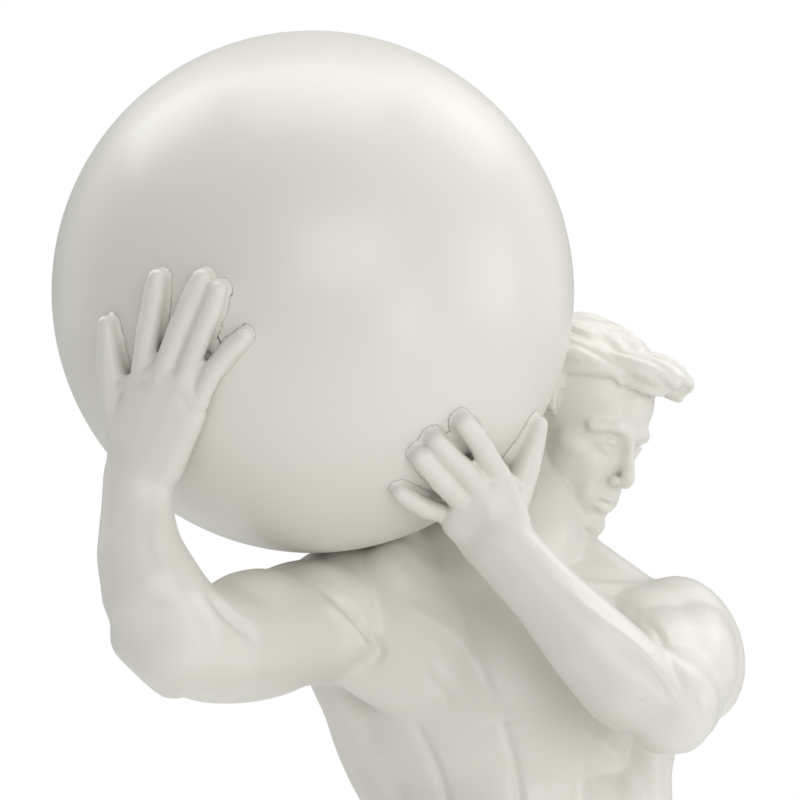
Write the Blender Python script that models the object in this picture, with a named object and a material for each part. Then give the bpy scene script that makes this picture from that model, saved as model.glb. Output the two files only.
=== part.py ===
# Atlas statue: a kneeling man who carries a large plain globe on his right shoulder, on a low plinth.
# Metres, +Z up. The origin is the middle of the plinth's underside, and the figure faces -Y.
import math
import random

import bmesh
import bpy
import numpy as np
from mathutils import Euler, Matrix, Vector

# Driving sizes in metres
figure_height = 0.309
globe_diameter = 0.160
plinth_width = 0.216
plinth_depth = 0.252
plinth_height = 0.016
plinth_corner_radius = 0.030
plinth_edge_radius = 0.003
clearance = 0.0003
seat_clearance = 0.0004

# The figure is worked out in heads, a sculptor's unit: his own height holds 5.3 of them as he kneels
heads_tall = 5.3
head = figure_height / heads_tall
globe_radius = globe_diameter / 2
globe_in_heads = globe_radius / head
figure_shift = Vector((-0.17, 0.04, 0.0))

# How finely the figure is carved, in heads, and how far its body and its details are softened
body_grain = 0.024
carving_grain = 0.0165
body_softening = 18
detail_softening = 4
figure_triangles = 7900

# Where the globe sits on the right shoulder, and the way from that seat to its centre
seat = Vector((-0.44, 0.08, 4.09))
seat_to_centre = Vector((-0.086, -0.185, 1.373)).normalized()
globe_centre = seat + seat_to_centre * globe_in_heads

# The chest's own directions: it leans to the figure's right and turns a little that way
chest_up = Vector((-0.366, 0.225, 0.903)).normalized()
chest_front = Vector((-0.252, -0.957, 0.141)).normalized()
chest_left = chest_up.cross(chest_front)

rib_middle = Vector((0.40, 0.22, 3.35))

# The head's middle and size in heads. It turns to the figure's left, nods and tilts
head_middle = Vector((0.89, 0.66, 4.745))
head_size = 1.05
head_turn = math.radians(48)
head_nod = math.radians(10)
head_tilt = math.radians(14)

# The hair is combed forward in lanes. The hairline is a height over the brow, as a share of the crown's
hair_seed = 11
hair_lanes = 25
hairline = 0.33

# The hands. An anchor is a direction from the globe's middle. A finger is its joints, from root to tip,
# and its half thickness. A joint is across and up over the globe from the anchor, and how far off it
right_anchor = Vector((-0.514, -0.759, -0.400))
right_wrist = Vector((-1.40, -0.95, 4.48))
right_fingers = (
    (((-0.08, 0.14, 0.07), (-0.02, 0.36, 0.06), (0.02, 0.52, 0.05), (0.04, 0.65, 0.045)), 0.060),
    (((0.05, 0.15, 0.08), (0.17, 0.37, 0.06), (0.25, 0.52, 0.05), (0.32, 0.65, 0.045)), 0.060),
    (((0.15, 0.10, 0.08), (0.27, 0.31, 0.06), (0.35, 0.45, 0.05), (0.41, 0.58, 0.045)), 0.058),
    (((0.20, 0.00, 0.07), (0.32, 0.15, 0.06), (0.42, 0.24, 0.05), (0.52, 0.31, 0.04)), 0.052),
)
right_thumb = (
    (-0.26, -0.26, 0.12), (-0.29, -0.04, 0.09), (-0.30, 0.16, 0.07),
    (-0.31, 0.28, 0.06), (-0.335, 0.39, 0.045),
)
left_anchor = Vector((0.614, -0.305, -0.728))
left_wrist = Vector((0.45, -0.74, 4.13))
left_heel = Vector((0.235, -0.72, 4.26))
left_fingers = (
    (((-0.12, 0.16, 0.12), (-0.31, 0.26, 0.08), (-0.44, 0.33, 0.06), (-0.56, 0.38, 0.045)), 0.060),
    (((-0.19, 0.07, 0.13), (-0.39, 0.14, 0.08), (-0.53, 0.18, 0.06), (-0.67, 0.23, 0.045)), 0.060),
    (((-0.21, -0.03, 0.12), (-0.44, 0.03, 0.08), (-0.57, 0.07, 0.06), (-0.69, 0.11, 0.045)), 0.058),
    (((-0.15, -0.13, 0.11), (-0.34, -0.16, 0.07), (-0.46, -0.16, 0.05), (-0.58, -0.15, 0.04)), 0.052),
)
left_thumb = (
    (0.05, -0.12, 0.24), (0.10, 0.04, 0.19), (0.155, 0.19, 0.12),
    (0.185, 0.30, 0.08), (0.19, 0.42, 0.05),
)


def clear_scene():
    for thing in list(bpy.data.objects):
        bpy.data.objects.remove(thing, do_unlink=True)


def make_material(name, colour, roughness):
    material = bpy.data.materials.new(name)
    material.use_nodes = True
    shader = material.node_tree.nodes["Principled BSDF"]
    shader.inputs["Base Color"].default_value = (*colour, 1.0)
    shader.inputs["Roughness"].default_value = roughness
    shader.inputs["Metallic"].default_value = 0.0
    return material


def make_object(name, mesh, material):
    thing = bpy.data.objects.new(name, mesh)
    bpy.context.scene.collection.objects.link(thing)
    if material:
        mesh.materials.clear()
        mesh.materials.append(material)
    return thing


def settle(thing):
    """The object's modifiers become its mesh."""
    bpy.context.view_layer.update()
    graph = bpy.context.evaluated_depsgraph_get()
    mesh = bpy.data.meshes.new_from_object(thing.evaluated_get(graph))
    thing.modifiers.clear()
    thing.data = mesh


def axes_along(direction, facing):
    """Three directions: across, towards facing, and along direction."""
    along = direction.normalized()
    across = facing.cross(along)
    if across.length < 1e-6:
        across = along.orthogonal()
    across.normalize()
    return Matrix((across, along.cross(across), along)).transposed().to_4x4()


def unit_form(make, **sizes):
    """A unit primitive's points and triangles, made once and copied for every form."""
    form = bmesh.new()
    make(form, radius=1.0, **sizes)
    bmesh.ops.triangulate(form, faces=form.faces)
    form.verts.ensure_lookup_table()
    points = np.array([corner.co for corner in form.verts])
    triangles = np.array([[corner.index for corner in face.verts] for face in form.faces])
    form.free()
    return points, triangles


ball_form = unit_form(bmesh.ops.create_icosphere, subdivisions=3)
rod_form = unit_form(bmesh.ops.create_uvsphere, u_segments=16, v_segments=12)
rod_outer_half = rod_form[0][:, 2] > 1e-4


class Clay:
    """Lumps that overlap, before they are joined into one skin."""

    def __init__(self):
        self.points = []
        self.triangles = []
        self.count = 0

    def add(self, points, triangles):
        self.points.append(points)
        self.triangles.append(triangles + self.count)
        self.count += len(points)

    def take(self, other, place):
        """Takes another clay's lumps, put in their place."""
        turn = np.array(place.to_3x3())
        for points, triangles in zip(other.points, other.triangles):
            self.add(points @ turn.T + np.array(place.translation), triangles - triangles.min())

    def to_mesh(self, name, place):
        turn = np.array(place.to_3x3())
        points = np.concatenate(self.points) @ turn.T + np.array(place.translation)
        mesh = bpy.data.meshes.new(name)
        mesh.from_pydata(points.tolist(), [], np.concatenate(self.triangles).tolist())
        return mesh


def belly(clay, start, end, width, thickness, facing):
    """A muscle's belly or another swelling: an ellipsoid that runs from start to end."""
    start, end = Vector(start), Vector(end)
    turn = np.array(axes_along(end - start, Vector(facing)).to_3x3())
    size = np.array((width, thickness, (end - start).length / 2))
    clay.add((ball_form[0] * size) @ turn.T + np.array((start + end) / 2), ball_form[1])


def rod(clay, start, end, start_radius, end_radius, flatness=1.0, facing=(0, -1, 0)):
    """A tapered limb with round ends. Flatness squeezes it along facing."""
    start, end = Vector(start), Vector(end)
    turn = np.array(axes_along(end - start, Vector(facing)).to_3x3())
    radius = np.where(rod_outer_half, end_radius, start_radius)[:, None]
    local = rod_form[0] * radius * np.array((1.0, flatness, 1.0))
    root = np.where(rod_outer_half[:, None], np.array(end), np.array(start))
    clay.add(root + local @ turn.T, rod_form[1])


def chain(clay, points, radii, flatness=1.0, facing=(0, -1, 0)):
    """Rods joined end to end."""
    for i in range(len(points) - 1):
        rod(clay, points[i], points[i + 1], radii[i], radii[i + 1], flatness, facing)


def smooth_curve(points, count):
    # a curve through all the points
    points = [Vector(p) for p in points]
    ends = [points[0] * 2 - points[1]] + points + [points[-1] * 2 - points[-2]]
    spans = len(points) - 1
    result = []
    for i in range(count):
        along = spans * i / (count - 1)
        span = min(int(along), spans - 1)
        t = along - span
        a, b, c, d = ends[span:span + 4]
        result.append(0.5 * ((2 * b) + (c - a) * t + (2 * a - 5 * b + 4 * c - d) * t ** 2
                             + (3 * b - a - 3 * c + d) * t ** 3))
    return result


def add_torso(clay):
    front, up = chest_front, chest_up
    middle = rib_middle
    belly(clay, middle - up * 0.85, middle + up * 0.80, 0.77, 0.52, front)
    rod(clay, (-0.32, 0.34, 3.50), (0.10, 0.20, 2.60), 0.27, 0.27)
    rod(clay, (1.10, 0.36, 3.45), (1.12, 0.22, 2.62), 0.27, 0.28)
    # shoulder girdle, with the yoke that carries the globe
    rod(clay, (-0.40, 0.16, 3.78), (0.35, 0.40, 3.88), 0.33, 0.36)
    rod(clay, (0.35, 0.40, 3.84), (1.34, 0.24, 3.62), 0.34, 0.27)
    # back: shoulder blades, the muscles between them and beside the spine
    belly(clay, (-0.38, 0.40, 3.80), (0.16, 0.58, 2.90), 0.34, 0.20, (0, 1, 0))
    belly(clay, (1.26, 0.38, 3.74), (0.80, 0.58, 2.90), 0.34, 0.20, (0, 1, 0))
    belly(clay, (0.56, 0.58, 4.40), (0.48, 0.62, 2.90), 0.42, 0.17, (0, 1, 0))
    belly(clay, (-0.20, 0.44, 4.02), (1.10, 0.52, 3.92), 0.24, 0.16, (0, 1, 0))
    belly(clay, (-0.42, 0.34, 3.56), (0.36, 0.40, 2.20), 0.30, 0.20, (-0.4, 1, 0))
    belly(clay, (1.30, 0.34, 3.50), (0.84, 0.38, 2.20), 0.30, 0.20, (0.4, 1, 0))
    belly(clay, (0.36, 0.58, 3.50), (0.50, 0.36, 1.90), 0.13, 0.13, (0, 1, 0))
    belly(clay, (0.66, 0.58, 3.50), (0.78, 0.34, 1.90), 0.13, 0.13, (0, 1, 0))
    # the chest is drawn out flat toward the raised arms
    belly(clay, (-0.60, 0.02, 3.86), (0.46, -0.20, 3.32), 0.36, 0.13, front)
    belly(clay, (0.34, -0.20, 3.46), (1.30, -0.02, 3.60), 0.34, 0.14, front)
    rod(clay, (-0.10, 0.02, 3.98), (0.36, -0.10, 3.40), 0.17, 0.17)
    # waist, belly wall and hips
    belly(clay, (0.50, 0.16, 3.30), (0.62, 0.04, 1.90), 0.66, 0.42, (0, -1, 0))
    belly(clay, (0.46, 0.02, 3.30), (0.62, -0.16, 1.80), 0.44, 0.28, (0, -1, 0))
    belly(clay, (0.62, 0.06, 2.55), (0.64, 0.06, 1.45), 0.64, 0.45, (0, -1, 0))
    for side in (-1, 1):
        ribs, groin = (0.52 + 0.17 * side, -0.16, 3.24), (0.60 + 0.15 * side, -0.20, 2.16)
        belly(clay, ribs, groin, 0.16, 0.10, (0, -1, 0))
        flank, hip = (0.56 + 0.53 * side, 0.08, 3.00), (0.64 + 0.47 * side, 0.02, 1.80)
        belly(clay, flank, hip, 0.16, 0.26, (0, -1, 0))
    # collar bones
    rod(clay, (0.17, -0.04, 3.92), (-0.14, 0.10, 4.12), 0.055, 0.055)
    rod(clay, (0.30, -0.04, 3.91), (1.25, 0.10, 3.85), 0.055, 0.065)
    # seat
    belly(clay, (0.30, 0.34, 2.25), (0.28, 0.32, 1.45), 0.36, 0.34, (0, 1, 0))
    belly(clay, (1.02, 0.24, 2.25), (1.06, 0.16, 1.42), 0.36, 0.34, (0, 1, 0))


def add_neck(clay):
    # the nape runs up into the skull, and the throat stays behind the jaw
    nape = head_place() @ Vector((0, 0.16, -0.16))
    throat = head_place() @ Vector((0, 0.03, -0.26))
    chain(clay, ((0.30, 0.38, 3.90), (0.56, 0.56, 4.14), nape), (0.42, 0.34, 0.25))
    chain(clay, ((0.34, 0.20, 3.84), (0.62, 0.38, 4.12), throat), (0.34, 0.28, 0.20))
    chain(clay, (nape, (0.78, 0.58, 4.02), (1.22, 0.28, 3.77)), (0.24, 0.22, 0.17))
    rod(clay, throat, (0.74, 0.42, 3.88), 0.19, 0.22)
    rod(clay, (0.56, 0.60, 4.22), (-0.36, 0.20, 3.86), 0.26, 0.27)
    behind_ear = head_place() @ Vector((-0.20, 0.10, -0.20))
    chain(clay, ((0.24, -0.04, 3.94), (0.62, 0.18, 4.16), behind_ear), (0.06, 0.075, 0.08))
    chain(clay, ((0.13, 0.00, 3.92), (-0.06, 0.16, 4.16)), (0.06, 0.09))


def add_right_arm(clay):
    path = (
        (-0.44, 0.06, 3.72), (-0.69, -0.33, 3.68), (-0.99, -0.76, 3.64), (-1.20, -1.00, 3.68),
        (-1.32, -1.06, 3.91), (-1.39, -1.04, 4.10), (-1.405, -0.99, 4.30), right_wrist,
    )
    chain(clay, path, (0.34, 0.315, 0.300, 0.295, 0.27, 0.225, 0.19, 0.190), 0.95)
    belly(clay, (-0.20, 0.16, 3.80), (-0.98, -0.40, 3.62), 0.33, 0.32, (0, -1, 0))
    rod(clay, (-0.66, -0.24, 3.68), (-0.37, -0.20, 3.66), 0.27, 0.165)
    # biceps, the back of the arm, and the forearm's mass that laps over the elbow
    belly(clay, (-0.52, -0.16, 3.78), (-1.06, -0.84, 3.80), 0.23, 0.22, (0, -0.3, 1))
    belly(clay, (-0.44, -0.10, 3.56), (-1.30, -0.98, 3.50), 0.22, 0.22, (0, 0, -1))
    chain(clay, ((-1.38, -1.10, 4.12), (-1.24, -1.12, 3.86), (-1.00, -0.90, 3.68)), (0.15, 0.20, 0.20))
    rod(clay, (-1.38, -1.00, 3.68), (-1.22, -0.98, 3.50), 0.17, 0.15)


def add_left_arm(clay):
    path = (
        (1.40, 0.20, 3.60), (1.35, -0.33, 3.46), (1.32, -0.84, 3.32), (1.09, -0.88, 3.44),
        (0.915, -0.87, 3.62), (0.69, -0.82, 3.87), left_wrist,
    )
    chain(clay, path, (0.29, 0.28, 0.25, 0.255, 0.235, 0.190, 0.185), 0.95)
    # shoulder cap, the pressed biceps and the back of the arm
    belly(clay, (1.34, 0.34, 3.88), (1.55, -0.28, 3.24), 0.32, 0.30, (1, 0, 0.2))
    belly(clay, (1.14, 0.16, 3.82), (1.42, -0.38, 3.44), 0.26, 0.22, (0, -1, 0.5))
    belly(clay, (1.30, -0.04, 3.70), (1.34, -0.72, 3.48), 0.20, 0.19, (0, 0, 1))
    belly(clay, (1.46, 0.10, 3.44), (1.36, -0.84, 3.20), 0.21, 0.21, (0, 0, -1))
    rod(clay, (1.36, -0.82, 3.22), (1.27, -0.90, 3.22), 0.16, 0.16)


def add_legs(clay):
    # his right leg is planted, the knee up
    hip = Vector((0.30, 0.06, 1.92))
    knee = Vector((-0.91, -1.28, 1.93))
    ankle = Vector((-0.87, -1.16, 0.30))
    chain(clay, (hip, hip.lerp(knee, 0.5), knee), (0.44, 0.36, 0.25))
    belly(clay, (0.10, -0.20, 2.12), (-0.82, -1.22, 2.04), 0.26, 0.22, (0, 0, 1))
    belly(clay, (0.16, 0.00, 1.72), (-0.78, -1.10, 1.76), 0.28, 0.22, (0, 0, -1))
    rod(clay, (-0.92, -1.38, 1.95), (-0.91, -1.37, 1.80), 0.12, 0.11)
    rod(clay, (-0.98, -1.26, 1.74), (-0.84, -1.26, 1.74), 0.15, 0.15)
    chain(clay, (knee, (-0.89, -1.22, 1.45), (-0.87, -1.18, 0.75), ankle), (0.22, 0.21, 0.15, 0.13))
    belly(clay, (-0.80, -1.08, 1.92), (-0.84, -1.12, 0.56), 0.20, 0.21, (0, 1, 0))
    belly(clay, (-0.98, -1.14, 1.86), (-0.90, -1.14, 0.66), 0.18, 0.19, (0, 1, 0))
    rod(clay, (-0.84, -1.10, 0.80), (-0.81, -1.03, 0.20), 0.10, 0.09)
    # his left leg kneels
    hip = Vector((1.02, -0.08, 1.92))
    knee = Vector((1.46, -0.58, 0.27))
    ankle = Vector((1.50, 0.98, 0.26))
    chain(clay, (hip, hip.lerp(knee, 0.5), knee), (0.44, 0.37, 0.25))
    belly(clay, (1.06, -0.34, 1.90), (1.46, -0.68, 0.42), 0.26, 0.20, (0, -1, 0.2))
    belly(clay, (1.14, 0.06, 1.70), (1.44, -0.38, 0.42), 0.26, 0.22, (0, 1, 0))
    rod(clay, (1.46, -0.76, 0.38), (1.46, -0.70, 0.22), 0.13, 0.14)
    rod(clay, (1.36, -0.52, 0.20), (1.56, -0.52, 0.20), 0.16, 0.16)
    chain(clay, (knee, (1.47, -0.20, 0.30), (1.49, 0.50, 0.24), ankle), (0.22, 0.22, 0.16, 0.13))
    belly(clay, (1.40, -0.46, 0.42), (1.48, 0.62, 0.32), 0.19, 0.17, (0, 0, 1))


def planted_spot(ahead, inward, height):
    # from under the planted heel: along the foot, toward its big toe, and up
    heel = Vector((-0.80, -1.02, height))
    return heel + Vector((-0.50, -0.866, 0)) * ahead + Vector((0.866, -0.50, 0)) * inward


def add_feet(clay):
    up = (0, 0, 1)
    spot = planted_spot
    rod(clay, spot(-0.02, 0, 0.13), spot(0.04, 0, 0.34), 0.145, 0.125)
    instep = (spot(0.12, 0.01, 0.34), spot(0.34, 0.03, 0.22), spot(0.60, 0.03, 0.11))
    chain(clay, instep, (0.13, 0.13, 0.10))
    belly(clay, spot(-0.16, 0, 0.09), spot(0.74, 0.0, 0.075), 0.17, 0.085, up)
    belly(clay, spot(0.58, 0.22, 0.08), spot(0.52, -0.22, 0.075), 0.14, 0.085, up)
    rod(clay, spot(0, -0.05, 0.08), spot(0.50, -0.12, 0.07), 0.09, 0.08)
    rod(clay, spot(0.10, 0.12, 0.35), spot(0.07, -0.12, 0.30), 0.055, 0.055)
    # the kneeling foot lies on its instep, heel up
    rod(clay, (1.50, 0.96, 0.28), (1.50, 1.10, 0.37), 0.14, 0.12)
    belly(clay, (1.50, 0.84, 0.27), (1.53, 1.62, 0.09), 0.16, 0.14, up)
    rod(clay, (1.50, 1.04, 0.28), (1.52, 1.48, 0.12), 0.14, 0.11)
    belly(clay, (1.34, 1.50, 0.10), (1.70, 1.44, 0.09), 0.14, 0.085, up)


def add_toes(clay):
    for toe in range(5):
        first = toe == 0
        thick = 0.070 if first else 0.052 - 0.003 * toe
        root = planted_spot(0.60 - 0.035 * max(toe - 1, 0), 0.145 - 0.082 * toe, 0.085)
        bend = planted_spot(0.76 - 0.045 * max(toe - 1, 0), 0.150 - 0.083 * toe, 0.095)
        tip = planted_spot(0.88 - 0.052 * max(toe - 1, 0), 0.145 - 0.083 * toe, 0.055)
        chain(clay, (root, bend, tip), (thick * 1.15, thick, thick * 0.92))
        across = 1.385 + 0.078 * toe
        tail = 1.74 - 0.035 * max(toe - 1, 0)
        path = ((across, 1.48, 0.09), (across + 0.005, 1.64, 0.075), (across + 0.01, tail, 0.055))
        chain(clay, path, (thick * 1.1, thick, thick * 0.9))


def add_drape(clay):
    # a rolled belt, and the folds that hang from it in front and behind
    turns = 60
    for strand in range(3):
        ring = []
        for i in range(turns + 1):
            angle = 2 * math.pi * i / turns
            twist = 5 * angle + 2 * math.pi * strand / 3
            out = 1.0 + 0.045 * math.cos(twist)
            ring.append(Vector((
                0.64 + 0.69 * out * math.cos(angle),
                0.06 + 0.53 * out * math.sin(angle),
                2.10 + 0.05 * math.sin(twist) + 0.06 * math.cos(angle),
            )))
        chain(clay, ring, [0.07] * len(ring))
    chance = random.Random(5)
    for out, half, depth, folds in ((-1, 0.22, 0.47, 6), (1, 0.40, 0.50, 10)):
        facing = (0, out, 0)
        for sheet in range(5):
            across = half * (sheet / 2 - 1) * 0.8
            path = (
                (0.64 + across * 0.85, out * depth, 2.12),
                (0.64 + across, out * (depth + 0.09), 1.85),
                (0.64 + across, out * (depth + 0.11), 1.55),
                (0.64 + across * 1.1, out * (depth + 0.07), 1.24),
            )
            chain(clay, path, (0.13, 0.17, 0.18, 0.16), 0.42, facing)
        for fold in range(folds):
            share = 2 * (fold + chance.uniform(-0.2, 0.2)) / (folds - 1) - 1
            swing = chance.uniform(-0.035, 0.035)
            thick = chance.uniform(0.034, 0.060)
            hem = 1.13 + chance.uniform(-0.03, 0.03) + 0.06 * share ** 2
            path = smooth_curve((
                (0.64 + 0.72 * half * share, out * (depth + 0.03), 2.12),
                (0.64 + 0.95 * half * share + swing, out * (depth + 0.12), 1.82),
                (0.64 + 1.02 * half * share - swing, out * (depth + 0.14), 1.48),
                (0.64 + 1.08 * half * share, out * (depth + 0.09), hem),
            ), 8)
            swell = [0.75 + 0.35 * math.sin(math.pi * (0.1 + 0.75 * i / 7)) for i in range(8)]
            chain(clay, path, [thick * share for share in swell])


def globe_spot(anchor, across, up, lift):
    """A point over the globe, so far across and up along it from the anchor direction, and lifted off it."""
    straight = anchor.normalized()
    upward = (Vector((0, 0, 1)) - straight * straight.z).normalized()
    sideways = upward.cross(straight)
    reach = straight * globe_in_heads + sideways * across + upward * up
    return globe_centre + reach.normalized() * (globe_in_heads + lift)


def knuckles_and_heels(anchor, wrist, fingers):
    knuckles = [globe_spot(anchor, *joints[0]) for joints, thick in fingers]
    middle = sum(knuckles, Vector()) / len(knuckles)
    heels = [wrist.lerp(middle, 0.24) + (knuckle - middle) * 0.72 for knuckle in knuckles]
    return knuckles, heels


def add_palm(clay, anchor, wrist, fingers, thumb):
    # the broad back of the hand, which flows into the wrist
    knuckles, heels = knuckles_and_heels(anchor, wrist, fingers)
    for knuckle, heel in zip(knuckles, heels):
        rod(clay, knuckle.lerp(heel, 0.15), heel, 0.085, 0.105)
        rod(clay, heel, wrist, 0.105, 0.150)
    for i in range(3):
        for share in (0.2, 0.5, 0.8, 1.0):
            first = knuckles[i].lerp(heels[i], share)
            second = knuckles[i + 1].lerp(heels[i + 1], share)
            rod(clay, first, second, 0.085, 0.085)
    spots = [globe_spot(anchor, *joint) for joint in thumb]
    chain(clay, (wrist, spots[0], spots[1]), (0.14, 0.125, 0.095))
    rod(clay, spots[0], heels[0], 0.115, 0.100)
    rod(clay, spots[1].lerp(spots[0], 0.3), knuckles[0].lerp(heels[0], 0.5), 0.090, 0.085)


def add_fingers(clay, anchor, wrist, fingers, thumb):
    knuckles, heels = knuckles_and_heels(anchor, wrist, fingers)
    for (joints, thick), heel in zip(fingers, heels):
        spots = [globe_spot(anchor, *joint) for joint in joints]
        halves = [a.lerp(b, 0.5) for a, b in zip(spots[:-1], spots[1:])]
        path = [spots[0].lerp(heel, 0.6), spots[0]]
        for half, spot in zip(halves, spots[1:]):
            path += [half, spot]
        shares = (0.95, 1.14, 1.05, 1.07, 0.98, 1.01, 0.97, 0.84)
        chain(clay, path, [thick * share for share in shares])
        add_nail(clay, spots[3], spots[2], thick)
    for i in range(3):
        rod(clay, knuckles[i], knuckles[i + 1], 0.064, 0.064)
    spots = [globe_spot(anchor, *joint) for joint in thumb]
    chain(clay, spots, (0.100, 0.094, 0.076, 0.060, 0.047))
    rod(clay, spots[1].lerp(spots[2], 0.45), knuckles[0].lerp(heels[0], 0.08), 0.055, 0.060)
    add_nail(clay, spots[4], spots[3], 0.054)


def add_nail(clay, tip, joint, thick):
    outward = (tip - globe_centre).normalized()
    back = (joint - tip).normalized()
    nail = tip + back * 0.02 + outward * thick * 0.62
    belly(clay, nail - back * 0.052, nail + back * 0.050, thick * 0.62, thick * 0.24, outward)


def head_place():
    """From the head's own directions, with +Z to the crown and -Y to the face, to the figure's."""
    turn = Euler((0.0, 0.0, head_turn)).to_matrix()
    nod = Euler((head_nod, 0.0, 0.0)).to_matrix()
    tilt = Euler((0.0, head_tilt, 0.0)).to_matrix()
    return Matrix.Translation(head_middle) @ (tilt @ turn @ nod).to_4x4() @ Matrix.Scale(head_size, 4)


def add_skull(clay):
    front = (0, -1, 0)
    belly(clay, (0, 0.44, 0.14), (0, -0.37, 0.19), 0.31, 0.325, (0, 0, 1))
    belly(clay, (0, -0.08, 0.36), (0, -0.19, -0.46), 0.245, 0.235, front)
    belly(clay, (0, 0.16, 0.10), (0, -0.02, -0.34), 0.24, 0.24, front)
    belly(clay, (-0.10, -0.310, -0.425), (0.10, -0.310, -0.425), 0.075, 0.085, front)
    belly(clay, (-0.16, -0.29, -0.27), (0.16, -0.29, -0.27), 0.12, 0.095, front)
    for side in (-1, 1):
        jaw = ((0.05 * side, -0.29, -0.43), (0.165 * side, -0.08, -0.35), (0.215 * side, 0.03, -0.16))
        chain(clay, jaw, (0.07, 0.07, 0.055))
        belly(clay, (0.09 * side, -0.325, -0.13), (0.245 * side, -0.10, -0.04), 0.075, 0.075, front)
        brow = ((0.02 * side, -0.362, 0.075), (0.12 * side, -0.350, 0.090), (0.22 * side, -0.270, 0.060))
        chain(clay, brow, (0.028, 0.032, 0.030))
    # nose
    chain(clay, ((0, -0.365, 0.05), (0, -0.400, -0.04), (0, -0.448, -0.135)), (0.034, 0.036, 0.042))


def add_eyes_and_lips(clay):
    # calm, closed lips and eyes that look straight ahead
    for side in (-1, 1):
        ball = Vector((0.112 * side, -0.282, -0.005))
        rod(clay, ball, ball + Vector((0, 0, 0.001)), 0.060, 0.060)
        inner, outer = Vector((0.055 * side, -0.328, -0.014)), Vector((0.170 * side, -0.296, -0.008))
        raised = ((0.085 * side, -0.342, 0.014), (0.128 * side, -0.338, 0.019))
        lowered = ((0.090 * side, -0.334, -0.032), (0.130 * side, -0.328, -0.034))
        upper = smooth_curve((inner, *raised, outer), 9)
        lower = smooth_curve((inner, *lowered, outer), 9)
        chain(clay, upper, [0.008 + 0.009 * math.sin(math.pi * i / 8) for i in range(9)])
        chain(clay, lower, [0.007 + 0.006 * math.sin(math.pi * i / 8) for i in range(9)])
        # wings of the nose, and ears
        belly(clay, (0.050 * side, -0.365, -0.165), (0.040 * side, -0.430, -0.165), 0.026, 0.030, (0, 0, 1))
        rim = smooth_curve((
            (0.262 * side, 0.005, 0.00), (0.285 * side, 0.015, 0.075), (0.315 * side, 0.075, 0.095),
            (0.325 * side, 0.110, 0.03), (0.300 * side, 0.070, -0.06), (0.262 * side, 0.020, -0.105),
        ), 12)
        chain(clay, rim, [0.020] * 12)
        belly(clay, (0.275 * side, 0.060, 0.07), (0.260 * side, 0.035, -0.11), 0.045, 0.022, (side, 0, 0))
    belly(clay, (0, -0.40, -0.172), (0, -0.470, -0.142), 0.040, 0.032, (0, 0, 1))
    upper_lip = across_mouth((0.105, -0.335, -0.288), (0.045, -0.378, -0.266), (0, -0.383, -0.272))
    lower_lip = across_mouth((0.095, -0.335, -0.296), (0.045, -0.366, -0.316), (0, -0.372, -0.320))
    chain(clay, upper_lip, lip_radii(0.012))
    chain(clay, lower_lip, lip_radii(0.016))


def across_mouth(corner, quarter, middle):
    # a curve from one side of the face to the other
    mirrored = [Vector((-x, y, z)) for x, y, z in (corner, quarter)]
    return smooth_curve((*mirrored, middle, quarter, corner), 13)


def lip_radii(swell):
    return [0.010 + swell * math.sin(math.pi * i / 12) for i in range(13)]


def scalp_spot(around, over, lift):
    # over the skull: around it from the parting to the ears, and over it from the brow to the nape
    wide, long, tall = 0.312 + lift, 0.405 + lift, 0.322 + lift
    side = wide * math.sin(over) * math.sin(around)
    height = tall * math.sin(over) * math.cos(around)
    return Vector((side, 0.035 - long * math.cos(over), 0.165 + height))


def add_hair(clay):
    # long locks in five rows, combed forward from the nape with a slow wave
    chance = random.Random(hair_seed)
    lanes = hair_lanes
    for row in range(5):
        for lane in range(lanes):
            wander = chance.uniform(-1, 1)
            around = math.radians(-106 + 212 * (lane + 0.5 * (row % 2) + 0.35 * wander) / (lanes - 0.5))
            start = 176 - 21 * row + chance.uniform(-9, 9)
            line = math.asin(min(1.0, hairline / max(math.cos(around), 0.2)))
            low = max(math.degrees(line), 0) if abs(around) < math.radians(68) else 66
            reach = min(chance.uniform(48, 74), start - low - chance.uniform(0, 6))
            if reach < 22:
                continue
            side = 0.45 + 0.55 * max(math.cos(around), 0)
            raised = chance.uniform(0.010, 0.034)
            thick = chance.uniform(0.021, 0.036)
            phase = 0.9 * row + 0.25 * lane + 0.5 * wander
            points, radii = [], []
            for step in range(9):
                share = step / 8
                sway = 0.14 * math.sin(3.6 * share + phase) * share
                lift = side * (0.016 + raised + 0.030 * math.sin(math.pi * (0.12 + 0.72 * share)))
                over = math.radians(start - reach * share)
                points.append(scalp_spot(around + sway, over, lift))
                radii.append(thick * min(1.0, 0.5 + 2.5 * share) * (1 - 0.76 * share ** 4))
            chain(clay, points, radii)


def add_hairline(clay):
    # the edge locks, from the brow round the temple to before the ear
    for side in (-1, 1):
        for layer in range(3):
            points = []
            for step in range(12):
                share = step / 11
                around = math.radians(14 + 92 * share)
                line = math.asin(min(1.0, (hairline + 0.06) / max(math.cos(around), 0.34)))
                over = line * (1 - share) + math.radians(72) * share + 0.05 + 0.07 * layer
                wave = 0.03 * math.sin(9 * share + 2.1 * layer)
                lift = 0.022 + 0.010 * math.sin(7 * share + layer)
                points.append(scalp_spot(side * around, over + wave, lift))
            radii = [0.018 + 0.013 * math.sin(math.pi * (0.1 + 0.8 * i / 11)) for i in range(12)]
            chain(clay, points, radii)


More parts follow.
